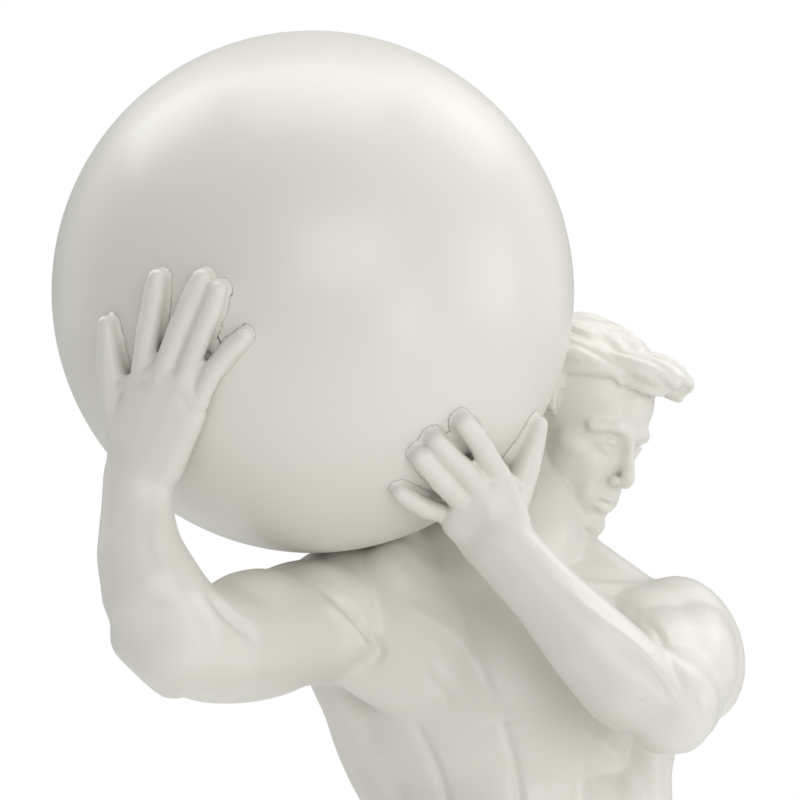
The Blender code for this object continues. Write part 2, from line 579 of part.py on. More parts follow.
def add_forelock(clay):
    # a tuft that stands out over the brow and gathers to a point
    tip = Vector((0.13, -0.50, 0.455))
    belly(clay, (0.00, -0.06, 0.42), (0.10, -0.44, 0.40), 0.15, 0.075, (0, 0, 1))
    for layer in range(3):
        for lock in range(7):
            share = lock / 6 - 0.5
            wander = math.sin(2.7 * lock + 1.9 * layer)
            side = 0.34 * share
            drop = 0.050 * layer + 0.14 * share * share
            gather = 0.84 + 0.10 * wander - 0.12 * layer
            end = Vector((side * 0.8 + 0.05, -0.43 + 0.04 * layer, 0.38 - drop)).lerp(tip, gather)
            points = smooth_curve((
                (side * 0.9 - 0.04, -0.02, 0.480 - drop),
                (side * 1.0 - 0.01, -0.16, 0.490 - drop),
                (side * 0.9 + 0.04, -0.29, 0.480 - drop + 0.012 * wander),
                (Vector((side * 0.7 + 0.07, -0.39, 0.47 - drop))).lerp(end, 0.5),
                end,
            ), 10)
            thick = 0.029 + 0.006 * wander
            radii = [thick * min(1.0, 0.55 + 0.9 * i / 9) * (1 - 0.66 * (i / 9) ** 4) for i in range(10)]
            chain(clay, points, radii)


def points_of(mesh):
    places = np.empty(len(mesh.vertices) * 3, np.float32)
    mesh.vertices.foreach_get("co", places)
    return places.reshape(-1, 3).astype(np.float64)


def move_points(mesh, places):
    mesh.vertices.foreach_set("co", places.astype(np.float32).ravel())
    mesh.update()


def keep_outer_skin(mesh):
    """Keeps the largest connected skin, so no shell is left inside the figure."""
    skin = bmesh.new()
    skin.from_mesh(mesh)
    unseen = set(skin.verts)
    largest = set()
    while unseen:
        start = unseen.pop()
        found, edge = {start}, [start]
        while edge:
            corner = edge.pop()
            for link in corner.link_edges:
                other = link.other_vert(corner)
                if other in unseen:
                    unseen.discard(other)
                    found.add(other)
                    edge.append(other)
        if len(found) > len(largest):
            largest = found
    bmesh.ops.delete(skin, geom=[corner for corner in skin.verts if corner not in largest], context="VERTS")
    skin.to_mesh(mesh)
    skin.free()


def press_home(mesh):
    """Presses the figure against the globe and the plinth, a clearance away from both."""
    places = points_of(mesh)
    centre = np.array(to_metres() @ globe_centre)
    away = places - centre
    reach = np.linalg.norm(away, axis=1)
    least = globe_radius + seat_clearance
    inside = reach < least
    places[inside] = centre + away[inside] * (least / reach[inside])[:, None]
    places[:, 2] = np.maximum(places[:, 2], plinth_height + clearance)
    move_points(mesh, places)


def to_metres():
    shift = Vector((figure_shift.x * head, figure_shift.y * head, plinth_height))
    return Matrix.Translation(shift) @ Matrix.Scale(head, 4)


def skin_over(clay, name, place, grain, softening):
    """Joins the lumps into one skin, and softens it until their seams melt."""
    thing = make_object(name, clay.to_mesh(name, place), None)
    joined = thing.modifiers.new("Joined", "REMESH")
    joined.mode = "VOXEL"
    joined.voxel_size = grain
    joined.use_smooth_shade = True
    soft = thing.modifiers.new("Soft", "SMOOTH")
    soft.factor = 0.5
    soft.iterations = softening
    settle(thing)
    keep_outer_skin(thing.data)
    return thing


def make_body():
    """The limbs and trunk, softened, as clay that takes the details."""
    clay = Clay()
    add_torso(clay)
    add_neck(clay)
    add_right_arm(clay)
    add_left_arm(clay)
    add_legs(clay)
    add_feet(clay)
    add_palm(clay, right_anchor, right_wrist, right_fingers, right_thumb)
    add_palm(clay, left_anchor, left_wrist, left_fingers, left_thumb)
    little_root = globe_spot(left_anchor, *left_fingers[3][0][0])
    chain(clay, (little_root, left_heel, left_wrist), (0.085, 0.105, 0.15))
    body = skin_over(clay, "body", Matrix.Identity(4), body_grain, body_softening)
    body.data.calc_loop_triangles()
    triangles = np.array([triangle.vertices[:] for triangle in body.data.loop_triangles])
    softened = Clay()
    softened.add(points_of(body.data), triangles)
    bpy.data.objects.remove(body, do_unlink=True)
    return softened


def make_figure(material):
    clay = make_body()
    add_fingers(clay, right_anchor, right_wrist, right_fingers, right_thumb)
    add_fingers(clay, left_anchor, left_wrist, left_fingers, left_thumb)
    add_toes(clay)
    add_drape(clay)
    skull = Clay()
    add_skull(skull)
    add_eyes_and_lips(skull)
    add_hair(skull)
    add_hairline(skull)
    add_forelock(skull)
    clay.take(skull, head_place())
    figure = skin_over(clay, "figure", to_metres(), carving_grain * head, detail_softening)
    press_home(figure.data)
    thinner = figure.modifiers.new("Thinner", "DECIMATE")
    figure.data.calc_loop_triangles()
    thinner.ratio = figure_triangles / len(figure.data.loop_triangles)
    settle(figure)
    press_home(figure.data)
    figure.data.materials.clear()
    figure.data.materials.append(material)
    return figure


def make_globe(material):
    ball = bmesh.new()
    bmesh.ops.create_icosphere(ball, subdivisions=4, radius=globe_radius)
    mesh = bpy.data.meshes.new("globe")
    ball.to_mesh(mesh)
    ball.free()
    globe = make_object("globe", mesh, material)
    globe.location = to_metres() @ globe_centre
    mesh.shade_smooth()
    return globe


def make_base(material):
    """A rectangle with round corners and a softened upper edge."""
    outline = []
    steps = 8
    for corner, (right, back) in enumerate(((1, 1), (-1, 1), (-1, -1), (1, -1))):
        for step in range(steps + 1):
            angle = math.pi / 2 * (corner + step / steps)
            outline.append((
                right * (plinth_width / 2 - plinth_corner_radius) + plinth_corner_radius * math.cos(angle),
                back * (plinth_depth / 2 - plinth_corner_radius) + plinth_corner_radius * math.sin(angle),
            ))
    slab = bmesh.new()
    floor = slab.faces.new([slab.verts.new((x, y, 0.0)) for x, y in outline])
    raised = bmesh.ops.extrude_face_region(slab, geom=[floor])
    top = [thing for thing in raised["geom"] if isinstance(thing, bmesh.types.BMVert)]
    bmesh.ops.translate(slab, vec=(0, 0, plinth_height), verts=top)
    rim = [edge for edge in slab.edges if all(end.co.z > plinth_height / 2 for end in edge.verts)]
    bmesh.ops.bevel(slab, geom=rim, offset=plinth_edge_radius, segments=3, profile=0.5, affect="EDGES")
    bmesh.ops.recalc_face_normals(slab, faces=slab.faces)
    mesh = bpy.data.meshes.new("base")
    slab.to_mesh(mesh)
    slab.free()
    return make_object("base", mesh, material)


def build():
    clear_scene()
    satin_white = (0.80, 0.79, 0.75)
    make_base(make_material("plinth_white", satin_white, 0.50))
    make_globe(make_material("globe_white", satin_white, 0.42))
    make_figure(make_material("figure_white", satin_white, 0.48))


build()
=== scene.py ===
import math
import random

import bpy
import numpy as np
from mathutils import Euler, Matrix, Vector


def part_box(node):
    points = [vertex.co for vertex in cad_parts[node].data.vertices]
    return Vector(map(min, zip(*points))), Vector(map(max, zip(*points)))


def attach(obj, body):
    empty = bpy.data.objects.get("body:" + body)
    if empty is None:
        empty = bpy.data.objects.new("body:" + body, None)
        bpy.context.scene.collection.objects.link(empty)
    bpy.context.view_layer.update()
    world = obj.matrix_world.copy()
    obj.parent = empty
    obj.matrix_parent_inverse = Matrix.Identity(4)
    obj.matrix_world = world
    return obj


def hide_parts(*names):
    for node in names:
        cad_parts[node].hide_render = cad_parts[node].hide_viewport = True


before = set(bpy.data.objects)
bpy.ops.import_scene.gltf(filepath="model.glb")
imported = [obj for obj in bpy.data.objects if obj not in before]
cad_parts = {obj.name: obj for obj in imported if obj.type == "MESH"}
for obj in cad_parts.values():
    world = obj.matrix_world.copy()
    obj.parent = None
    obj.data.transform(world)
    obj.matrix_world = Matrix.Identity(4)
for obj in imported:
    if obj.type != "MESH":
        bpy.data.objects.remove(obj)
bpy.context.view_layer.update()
print("frame loaded")

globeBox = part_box("globe")
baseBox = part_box("base")
globeMiddle = (globeBox[0] + globeBox[1]) / 2
globeRadius = (globeBox[1][2] - globeBox[0][2]) / 2
plinthTop = baseBox[1][2]

figureValues = {
    "head": 0.309 / 5.3,  # metres, the unit that the whole figure is drawn in
    "shift": (-0.17, 0.04),  # from the plinth's middle, in heads
    "bodyGrain": 0.019,  # voxels of the first rough skin, in heads
    "fineGrain": 0.0072,  # voxels of head and hands
    "skinGrain": 0.0098,  # voxels of the finished skin
    "bodySoftening": 30,  # rounds of smoothing
    "skinSoftening": 4,
    "triangles": 192000,
    "seatGap": 0.00008,  # from the globe and the plinth
}
head = figureValues["head"]
globeHeads = globeRadius / head


def toMetres():
    across, back = figureValues["shift"]
    return Matrix.Translation((across * head, back * head, plinthTop)) @ Matrix.Scale(head, 4)


globeCentre = toMetres().inverted() @ globeMiddle  # in heads, as all of the figure is


def deselect():
    bpy.ops.object.select_all(action="DESELECT")


def pick(*things):
    deselect()
    for thing in things:
        thing.select_set(True)
    bpy.context.view_layer.objects.active = things[0]


def applyModifier(thing, kind, **settings):
    pick(thing)
    bpy.ops.object.modifier_add(type=kind)
    modifier = thing.modifiers[-1]
    for name, value in settings.items():
        setattr(modifier, name, value)
    bpy.ops.object.modifier_apply(modifier=modifier.name)


def placeOf(thing):
    flat = np.empty(len(thing.data.vertices) * 3, np.float32)
    thing.data.vertices.foreach_get("co", flat)
    return flat.reshape(-1, 3).astype(np.float64)


def normalsOf(thing):
    flat = np.empty(len(thing.data.vertices) * 3, np.float32)
    thing.data.vertices.foreach_get("normal", flat)
    return flat.reshape(-1, 3).astype(np.float64)


def setPlace(thing, places):
    thing.data.vertices.foreach_set("co", places.astype(np.float32).ravel())
    thing.data.update()


def unitForm(add, **sizes):
    # one primitive, added and read once, then copied for every lump of clay
    deselect()
    add(radius=1.0, **sizes)
    form = bpy.context.object
    applyModifier(form, "TRIANGULATE")
    triangles = np.empty(len(form.data.polygons) * 3, np.int32)
    form.data.polygons.foreach_get("vertices", triangles)
    points = placeOf(form)
    bpy.data.objects.remove(form, do_unlink=True)
    return points, triangles.reshape(-1, 3)


ballForm = unitForm(bpy.ops.mesh.primitive_ico_sphere_add, subdivisions=4)
rodForm = unitForm(bpy.ops.mesh.primitive_uv_sphere_add, segments=20, ring_count=12)
rodOuter = rodForm[0][:, 2] > 1e-4


class Clay:
    def __init__(self):
        self.points = []
        self.triangles = []
        self.count = 0

    def add(self, points, triangles):
        self.points.append(points)
        self.triangles.append(triangles + self.count)
        self.count += len(points)

    def toObject(self, name):
        mesh = bpy.data.meshes.new(name)
        points = np.concatenate(self.points).tolist()
        mesh.from_pydata(points, [], np.concatenate(self.triangles).tolist())
        thing = bpy.data.objects.new(name, mesh)
        bpy.context.scene.collection.objects.link(thing)
        return thing


def axesAlong(direction, facing):
    along = direction.normalized()
    across = facing.cross(along)
    if across.length < 1e-6:
        across = along.orthogonal()
    across.normalize()
    return np.array(Matrix((across, along.cross(across), along)).transposed())


def belly(clay, start, end, width, thickness, facing):
    # a swelling that runs from start to end
    start, end = Vector(start), Vector(end)
    size = np.array((width, thickness, (end - start).length / 2))
    turn = axesAlong(end - start, Vector(facing))
    clay.add((ballForm[0] * size) @ turn.T + np.array((start + end) / 2), ballForm[1])


def rod(clay, start, end, startRadius, endRadius, flatness=1.0, facing=(0, -1, 0)):
    # a tapered limb with round ends
    start, end = Vector(start), Vector(end)
    turn = axesAlong(end - start, Vector(facing))
    radius = np.where(rodOuter, endRadius, startRadius)[:, None]
    local = rodForm[0] * radius * np.array((1.0, flatness, 1.0))
    root = np.where(rodOuter[:, None], np.array(end), np.array(start))
    clay.add(root + local @ turn.T, rodForm[1])


def chain(clay, points, radii, flatness=1.0, facing=(0, -1, 0)):
    for i in range(len(points) - 1):
        rod(clay, points[i], points[i + 1], radii[i], radii[i + 1], flatness, facing)


def smoothCurve(points, count):
    # a curve through all the points
    points = [Vector(p) for p in points]
    ends = [points[0] * 2 - points[1]] + points + [points[-1] * 2 - points[-2]]
    spans = len(points) - 1
    result = []
    for i in range(count):
        along = spans * i / (count - 1)
        span = min(int(along), spans - 1)
        t = along - span
        a, b, c, d = ends[span:span + 4]
        result.append(0.5 * ((2 * b) + (c - a) * t + (2 * a - 5 * b + 4 * c - d) * t ** 2
                             + (3 * b - a - 3 * c + d) * t ** 3))
    return result


def keepOuterSkin(thing):
    # the biggest loose part stays, so no shell is left inside
    pick(thing)
    bpy.ops.mesh.separate(type="LOOSE")
    parts = sorted(bpy.context.selected_objects, key=lambda part: -len(part.data.vertices))
    for part in parts[1:]:
        bpy.data.objects.remove(part, do_unlink=True)
    return parts[0]


def skinOver(thing, grain, softening):
    # the lumps become one skin, and smoothing melts their seams
    applyModifier(thing, "REMESH", mode="VOXEL", voxel_size=grain)
    thing = keepOuterSkin(thing)
    applyModifier(thing, "SMOOTH", factor=0.5, iterations=softening)
    return thing


def distanceTo(path, places):
    # how far each place is from the path, and how far along the path its nearest point is, 0 to 1
    path = np.array([tuple(p) for p in path])
    nearest = np.full(len(places), 1e9)
    share = np.zeros(len(places))
    spans = len(path) - 1
    for i in range(spans):
        step = path[i + 1] - path[i]
        t = np.clip(((places - path[i]) @ step) / max(step @ step, 1e-12), 0, 1)
        gap = np.linalg.norm(places - path[i] - t[:, None] * step, axis=1)
        closer = gap < nearest
        nearest[closer] = gap[closer]
        share[closer] = (i + t[closer]) / spans
    return nearest, share


class Chisel:
    # moves a skin's points along its normals, in grooves (depth under 0) and ridges (over 0)
    def __init__(self, thing):
        self.thing = thing
        self.places = placeOf(thing)
        self.normals = normalsOf(thing)
        self.moved = np.zeros(len(self.places))

    def line(self, path, width, depth, taper=0.35, points=10):
        path = smoothCurve(path, points)
        corners = np.array([tuple(p) for p in path])
        low, high = corners.min(axis=0) - 3 * width, corners.max(axis=0) + 3 * width
        near = np.where(np.all((self.places > low) & (self.places < high), axis=1))[0]
        gap, share = distanceTo(path, self.places[near])
        fade = np.clip(np.minimum(share, 1 - share) / taper, 0, 1)
        self.moved[near] += depth * np.exp(-(gap / width) ** 2) * (0.25 + 0.75 * fade)

    def front(self, path, width, depth, near, far):
        # a line drawn on what faces forward, between two distances
        path = [Vector((x, 0, z)) for x, z in path]
        ahead = (self.places[:, 1] > near) & (self.places[:, 1] < far) & (self.normals[:, 1] < 0.1)
        flat = self.places * np.array((1.0, 0.0, 1.0))
        low = np.array((min(p.x for p in path), -1, min(p.z for p in path))) - 3 * width
        high = np.array((max(p.x for p in path), 1, max(p.z for p in path))) + 3 * width
        chosen = np.where(ahead & np.all((flat > low) & (flat < high), axis=1))[0]
        gap, share = distanceTo(smoothCurve(path, 16), flat[chosen])
        fade = np.clip(np.minimum(share, 1 - share) / 0.3, 0, 1)
        facing = np.clip(-self.normals[chosen, 1] * 2, 0, 1)
        self.moved[chosen] += depth * np.exp(-(gap / width) ** 2) * (0.15 + 0.85 * fade) * facing

    def spot(self, centre, width, depth):
        near = np.where(np.all(np.abs(self.places - np.array(centre)) < 3 * width, axis=1))[0]
        gap = np.linalg.norm(self.places[near] - np.array(centre), axis=1)
        self.moved[near] += depth * np.exp(-(gap / width) ** 2)

    def done(self):
        setPlace(self.thing, self.places + self.normals * self.moved[:, None])
        return self.thing


chestValues = {
    "up": Vector((-0.366, 0.225, 0.903)).normalized(),
    "front": Vector((-0.252, -0.957, 0.141)).normalized(),
    "middle": Vector((0.40, 0.22, 3.35)),
}
chestLeft = chestValues["up"].cross(chestValues["front"])


def chestPoint(across, front, up):
    chest = chestValues
    return chest["middle"] + chestLeft * across + chest["front"] * front + chest["up"] * up


def addTorso(clay):
    front, up = chestValues["front"], chestValues["up"]
    middle = chestPoint(0, 0, 0)
    belly(clay, middle - up * 0.85, middle + up * 0.80, 0.77, 0.52, front)
    rod(clay, (-0.32, 0.34, 3.50), (0.10, 0.20, 2.60), 0.27, 0.27)
    rod(clay, (1.10, 0.36, 3.45), (1.12, 0.22, 2.62), 0.27, 0.28)
    # shoulder girdle, with the yoke that carries the globe
    rod(clay, (-0.40, 0.16, 3.78), (0.35, 0.40, 3.88), 0.33, 0.36)
    rod(clay, (0.35, 0.40, 3.84), (1.34, 0.24, 3.62), 0.34, 0.27)
    # back: shoulder blades, the muscles between them and beside the spine
    belly(clay, (-0.38, 0.40, 3.80), (0.16, 0.58, 2.90), 0.34, 0.20, (0, 1, 0))
    belly(clay, (1.26, 0.38, 3.74), (0.80, 0.58, 2.90), 0.34, 0.20, (0, 1, 0))
    belly(clay, (0.56, 0.58, 4.40), (0.48, 0.62, 2.90), 0.42, 0.17, (0, 1, 0))
    belly(clay, (-0.20, 0.44, 4.02), (1.10, 0.52, 3.92), 0.24, 0.16, (0, 1, 0))
    belly(clay, (-0.42, 0.34, 3.56), (0.36, 0.40, 2.20), 0.30, 0.20, (-0.4, 1, 0))
    belly(clay, (1.30, 0.34, 3.50), (0.84, 0.38, 2.20), 0.30, 0.20, (0.4, 1, 0))
    belly(clay, (0.36, 0.58, 3.50), (0.50, 0.36, 1.90), 0.13, 0.13, (0, 1, 0))
    belly(clay, (0.66, 0.58, 3.50), (0.78, 0.34, 1.90), 0.13, 0.13, (0, 1, 0))
    # the chest is drawn out flat toward the raised arms
    belly(clay, (-0.60, 0.02, 3.86), (0.46, -0.20, 3.32), 0.36, 0.13, front)
    belly(clay, (0.34, -0.20, 3.46), (1.30, -0.02, 3.60), 0.34, 0.14, front)
    rod(clay, (-0.10, 0.02, 3.98), (0.36, -0.10, 3.40), 0.17, 0.17)
    # waist, belly wall and hips
    belly(clay, (0.50, 0.16, 3.30), (0.62, 0.04, 1.90), 0.66, 0.42, (0, -1, 0))
    belly(clay, (0.46, 0.02, 3.30), (0.62, -0.16, 1.80), 0.44, 0.28, (0, -1, 0))
    belly(clay, (0.62, 0.06, 2.55), (0.64, 0.06, 1.45), 0.64, 0.45, (0, -1, 0))
    for side in (-1, 1):
        ribs, groin = (0.52 + 0.17 * side, -0.16, 3.24), (0.60 + 0.15 * side, -0.20, 2.16)
        belly(clay, ribs, groin, 0.16, 0.10, (0, -1, 0))
        flank, hip = (0.56 + 0.53 * side, 0.08, 3.00), (0.64 + 0.47 * side, 0.02, 1.80)
        belly(clay, flank, hip, 0.16, 0.26, (0, -1, 0))
    # collar bones
    rod(clay, (0.17, -0.04, 3.92), (-0.14, 0.10, 4.12), 0.055, 0.055)
    rod(clay, (0.30, -0.04, 3.91), (1.25, 0.10, 3.85), 0.055, 0.065)
    # seat
    belly(clay, (0.30, 0.34, 2.25), (0.28, 0.32, 1.45), 0.36, 0.34, (0, 1, 0))
    belly(clay, (1.02, 0.24, 2.25), (1.06, 0.16, 1.42), 0.36, 0.34, (0, 1, 0))


def addNeck(clay):
    # the nape runs up into the skull, and the throat stays behind the jaw
    nape = headPlace() @ Vector((0, 0.16, -0.16))
    throat = headPlace() @ Vector((0, 0.03, -0.26))
    chain(clay, ((0.30, 0.38, 3.90), (0.56, 0.56, 4.14), nape), (0.42, 0.34, 0.25))
    chain(clay, ((0.34, 0.20, 3.84), (0.62, 0.38, 4.12), throat), (0.34, 0.28, 0.20))
    chain(clay, (nape, (0.78, 0.58, 4.02), (1.22, 0.28, 3.77)), (0.24, 0.22, 0.17))
    rod(clay, throat, (0.74, 0.42, 3.88), 0.19, 0.22)
    rod(clay, (0.56, 0.60, 4.22), (-0.36, 0.20, 3.86), 0.26, 0.27)
    behindEar = headPlace() @ Vector((-0.20, 0.10, -0.20))
    chain(clay, ((0.24, -0.04, 3.94), (0.62, 0.18, 4.16), behindEar), (0.06, 0.075, 0.08))
    chain(clay, ((0.13, 0.00, 3.92), (-0.06, 0.16, 4.16)), (0.06, 0.09))


def addRightArm(clay):
    path = (
        (-0.44, 0.06, 3.72), (-0.69, -0.33, 3.68), (-0.99, -0.76, 3.64), (-1.20, -1.00, 3.68),
        (-1.32, -1.06, 3.91), (-1.39, -1.04, 4.10), (-1.405, -0.99, 4.30), handValues["rightWrist"],
    )
    chain(clay, path, (0.34, 0.315, 0.300, 0.295, 0.27, 0.225, 0.19, 0.190), 0.95)
    belly(clay, (-0.20, 0.16, 3.80), (-0.98, -0.40, 3.62), 0.33, 0.32, (0, -1, 0))
    rod(clay, (-0.66, -0.24, 3.68), (-0.37, -0.20, 3.66), 0.27, 0.165)
    # biceps, the back of the arm, and the forearm's mass that laps over the elbow
    belly(clay, (-0.52, -0.16, 3.78), (-1.06, -0.84, 3.80), 0.23, 0.22, (0, -0.3, 1))
    belly(clay, (-0.44, -0.10, 3.56), (-1.30, -0.98, 3.50), 0.22, 0.22, (0, 0, -1))
    chain(clay, ((-1.38, -1.10, 4.12), (-1.24, -1.12, 3.86), (-1.00, -0.90, 3.68)), (0.15, 0.20, 0.20))
    rod(clay, (-1.38, -1.00, 3.68), (-1.22, -0.98, 3.50), 0.17, 0.15)


def addLeftArm(clay):
    path = (
        (1.40, 0.20, 3.60), (1.35, -0.33, 3.46), (1.32, -0.84, 3.32), (1.09, -0.88, 3.44),
        (0.915, -0.87, 3.62), (0.69, -0.82, 3.87), handValues["leftWrist"],
    )
    chain(clay, path, (0.29, 0.28, 0.25, 0.255, 0.235, 0.190, 0.185), 0.95)
    # shoulder cap, the pressed biceps and the back of the arm
    belly(clay, (1.34, 0.34, 3.88), (1.55, -0.28, 3.24), 0.32, 0.30, (1, 0, 0.2))
    belly(clay, (1.14, 0.16, 3.82), (1.42, -0.38, 3.44), 0.26, 0.22, (0, -1, 0.5))
    belly(clay, (1.30, -0.04, 3.70), (1.34, -0.72, 3.48), 0.20, 0.19, (0, 0, 1))
    belly(clay, (1.46, 0.10, 3.44), (1.36, -0.84, 3.20), 0.21, 0.21, (0, 0, -1))
    belly(clay, (1.50, 0.12, 3.74), (1.48, -0.74, 3.34), 0.23, 0.21, (1, 0, 0.3))
    rod(clay, (1.36, -0.82, 3.22), (1.27, -0.90, 3.22), 0.16, 0.16)


def addLegs(clay):
    # his right leg is planted, the knee up
    hip = Vector((0.30, 0.06, 1.92))
    knee = Vector((-0.91, -1.28, 1.93))
    ankle = Vector((-0.87, -1.16, 0.30))
    chain(clay, (hip, hip.lerp(knee, 0.5), knee), (0.44, 0.36, 0.25))
    belly(clay, (0.10, -0.20, 2.12), (-0.82, -1.22, 2.04), 0.26, 0.22, (0, 0, 1))
    belly(clay, (0.16, 0.00, 1.72), (-0.78, -1.10, 1.76), 0.28, 0.22, (0, 0, -1))
    rod(clay, (-0.92, -1.38, 1.95), (-0.91, -1.37, 1.80), 0.12, 0.11)
    rod(clay, (-0.98, -1.26, 1.74), (-0.84, -1.26, 1.74), 0.15, 0.15)
    chain(clay, (knee, (-0.89, -1.22, 1.45), (-0.87, -1.18, 0.75), ankle), (0.22, 0.21, 0.15, 0.13))
    belly(clay, (-0.80, -1.08, 1.92), (-0.84, -1.12, 0.56), 0.20, 0.21, (0, 1, 0))
    belly(clay, (-0.98, -1.14, 1.86), (-0.90, -1.14, 0.66), 0.18, 0.19, (0, 1, 0))
    rod(clay, (-0.84, -1.10, 0.80), (-0.81, -1.03, 0.20), 0.10, 0.09)
    # his left leg kneels
    hip = Vector((1.02, -0.08, 1.92))
    knee = Vector((1.46, -0.58, 0.27))
    ankle = Vector((1.50, 0.98, 0.26))
    chain(clay, (hip, hip.lerp(knee, 0.5), knee), (0.44, 0.37, 0.25))
    belly(clay, (1.06, -0.34, 1.90), (1.46, -0.68, 0.42), 0.26, 0.20, (0, -1, 0.2))
    belly(clay, (1.14, 0.06, 1.70), (1.44, -0.38, 0.42), 0.26, 0.22, (0, 1, 0))
    rod(clay, (1.46, -0.76, 0.38), (1.46, -0.70, 0.22), 0.13, 0.14)
    rod(clay, (1.36, -0.52, 0.20), (1.56, -0.52, 0.20), 0.16, 0.16)
    chain(clay, (knee, (1.47, -0.20, 0.30), (1.49, 0.50, 0.24), ankle), (0.22, 0.22, 0.16, 0.13))
    belly(clay, (1.40, -0.46, 0.42), (1.48, 0.62, 0.32), 0.19, 0.17, (0, 0, 1))


def plantedSpot(ahead, inward, height):
    # from under the planted heel: along the foot, toward its big toe, and up
    heel = Vector((-0.80, -1.02, height))
    return heel + Vector((-0.50, -0.866, 0)) * ahead + Vector((0.866, -0.50, 0)) * inward


def addFeet(clay):
    up = (0, 0, 1)
    spot = plantedSpot
    rod(clay, spot(-0.02, 0, 0.13), spot(0.04, 0, 0.34), 0.145, 0.125)
    instep = (spot(0.12, 0.01, 0.34), spot(0.34, 0.03, 0.22), spot(0.60, 0.03, 0.11))
    chain(clay, instep, (0.13, 0.13, 0.10))
    belly(clay, spot(-0.16, 0, 0.09), spot(0.74, 0.0, 0.075), 0.17, 0.085, up)
    belly(clay, spot(0.58, 0.22, 0.08), spot(0.52, -0.22, 0.075), 0.14, 0.085, up)
    rod(clay, spot(0, -0.05, 0.08), spot(0.50, -0.12, 0.07), 0.09, 0.08)
    rod(clay, spot(0.10, 0.12, 0.35), spot(0.07, -0.12, 0.30), 0.055, 0.055)
    # the kneeling foot lies on its instep, heel up
    rod(clay, (1.50, 0.96, 0.28), (1.50, 1.10, 0.37), 0.14, 0.12)
    belly(clay, (1.50, 0.84, 0.27), (1.53, 1.62, 0.09), 0.16, 0.14, up)
    rod(clay, (1.50, 1.04, 0.28), (1.52, 1.48, 0.12), 0.14, 0.11)
    belly(clay, (1.34, 1.50, 0.10), (1.70, 1.44, 0.09), 0.14, 0.085, up)


def addToes(clay):
    for toe in range(5):
        first = toe == 0
        thick = 0.070 if first else 0.052 - 0.003 * toe
        root = plantedSpot(0.60 - 0.035 * max(toe - 1, 0), 0.145 - 0.082 * toe, 0.085)
        bend = plantedSpot(0.76 - 0.045 * max(toe - 1, 0), 0.150 - 0.083 * toe, 0.095)
        tip = plantedSpot(0.88 - 0.052 * max(toe - 1, 0), 0.145 - 0.083 * toe, 0.055)
        chain(clay, (root, bend, tip), (thick * 1.15, thick, thick * 0.92))
        across = 1.385 + 0.078 * toe
        tail = 1.74 - 0.035 * max(toe - 1, 0)
        path = ((across, 1.48, 0.09), (across + 0.005, 1.64, 0.075), (across + 0.01, tail, 0.055))
        chain(clay, path, (thick * 1.1, thick, thick * 0.9))


def addDrape(clay):
    # a rolled belt, and the folds that hang from it in front and behind
    turns = 60
    for strand in range(3):
        ring = []
        for i in range(turns + 1):
            angle = 2 * math.pi * i / turns
            twist = 5 * angle + 2 * math.pi * strand / 3
            out = 1.0 + 0.045 * math.cos(twist)
            ring.append(Vector((
                0.64 + 0.69 * out * math.cos(angle),
                0.06 + 0.53 * out * math.sin(angle),
                2.10 + 0.05 * math.sin(twist) + 0.06 * math.cos(angle),
            )))
        chain(clay, ring, [0.07] * len(ring))
    chance = random.Random(5)
    for out, half, depth, folds in ((-1, 0.22, 0.47, 6), (1, 0.40, 0.50, 10)):
        facing = (0, out, 0)
        for sheet in range(5):
            across = half * (sheet / 2 - 1) * 0.8
            path = (
                (0.64 + across * 0.85, out * depth, 2.12),
                (0.64 + across, out * (depth + 0.09), 1.85),
                (0.64 + across, out * (depth + 0.11), 1.55),
                (0.64 + across * 1.1, out * (depth + 0.07), 1.24),
            )
            chain(clay, path, (0.13, 0.17, 0.18, 0.16), 0.42, facing)
        for fold in range(folds):
            share = 2 * (fold + chance.uniform(-0.2, 0.2)) / (folds - 1) - 1
            swing = chance.uniform(-0.035, 0.035)
            thick = chance.uniform(0.034, 0.060)
            hem = 1.13 + chance.uniform(-0.03, 0.03) + 0.06 * share ** 2
            path = smoothCurve((
                (0.64 + 0.72 * half * share, out * (depth + 0.03), 2.12),
                (0.64 + 0.95 * half * share + swing, out * (depth + 0.12), 1.82),
                (0.64 + 1.02 * half * share - swing, out * (depth + 0.14), 1.48),
                (0.64 + 1.08 * half * share, out * (depth + 0.09), hem),
            ), 8)
            swell = [0.75 + 0.35 * math.sin(math.pi * (0.1 + 0.75 * i / 7)) for i in range(8)]
            chain(clay, path, [thick * share for share in swell])


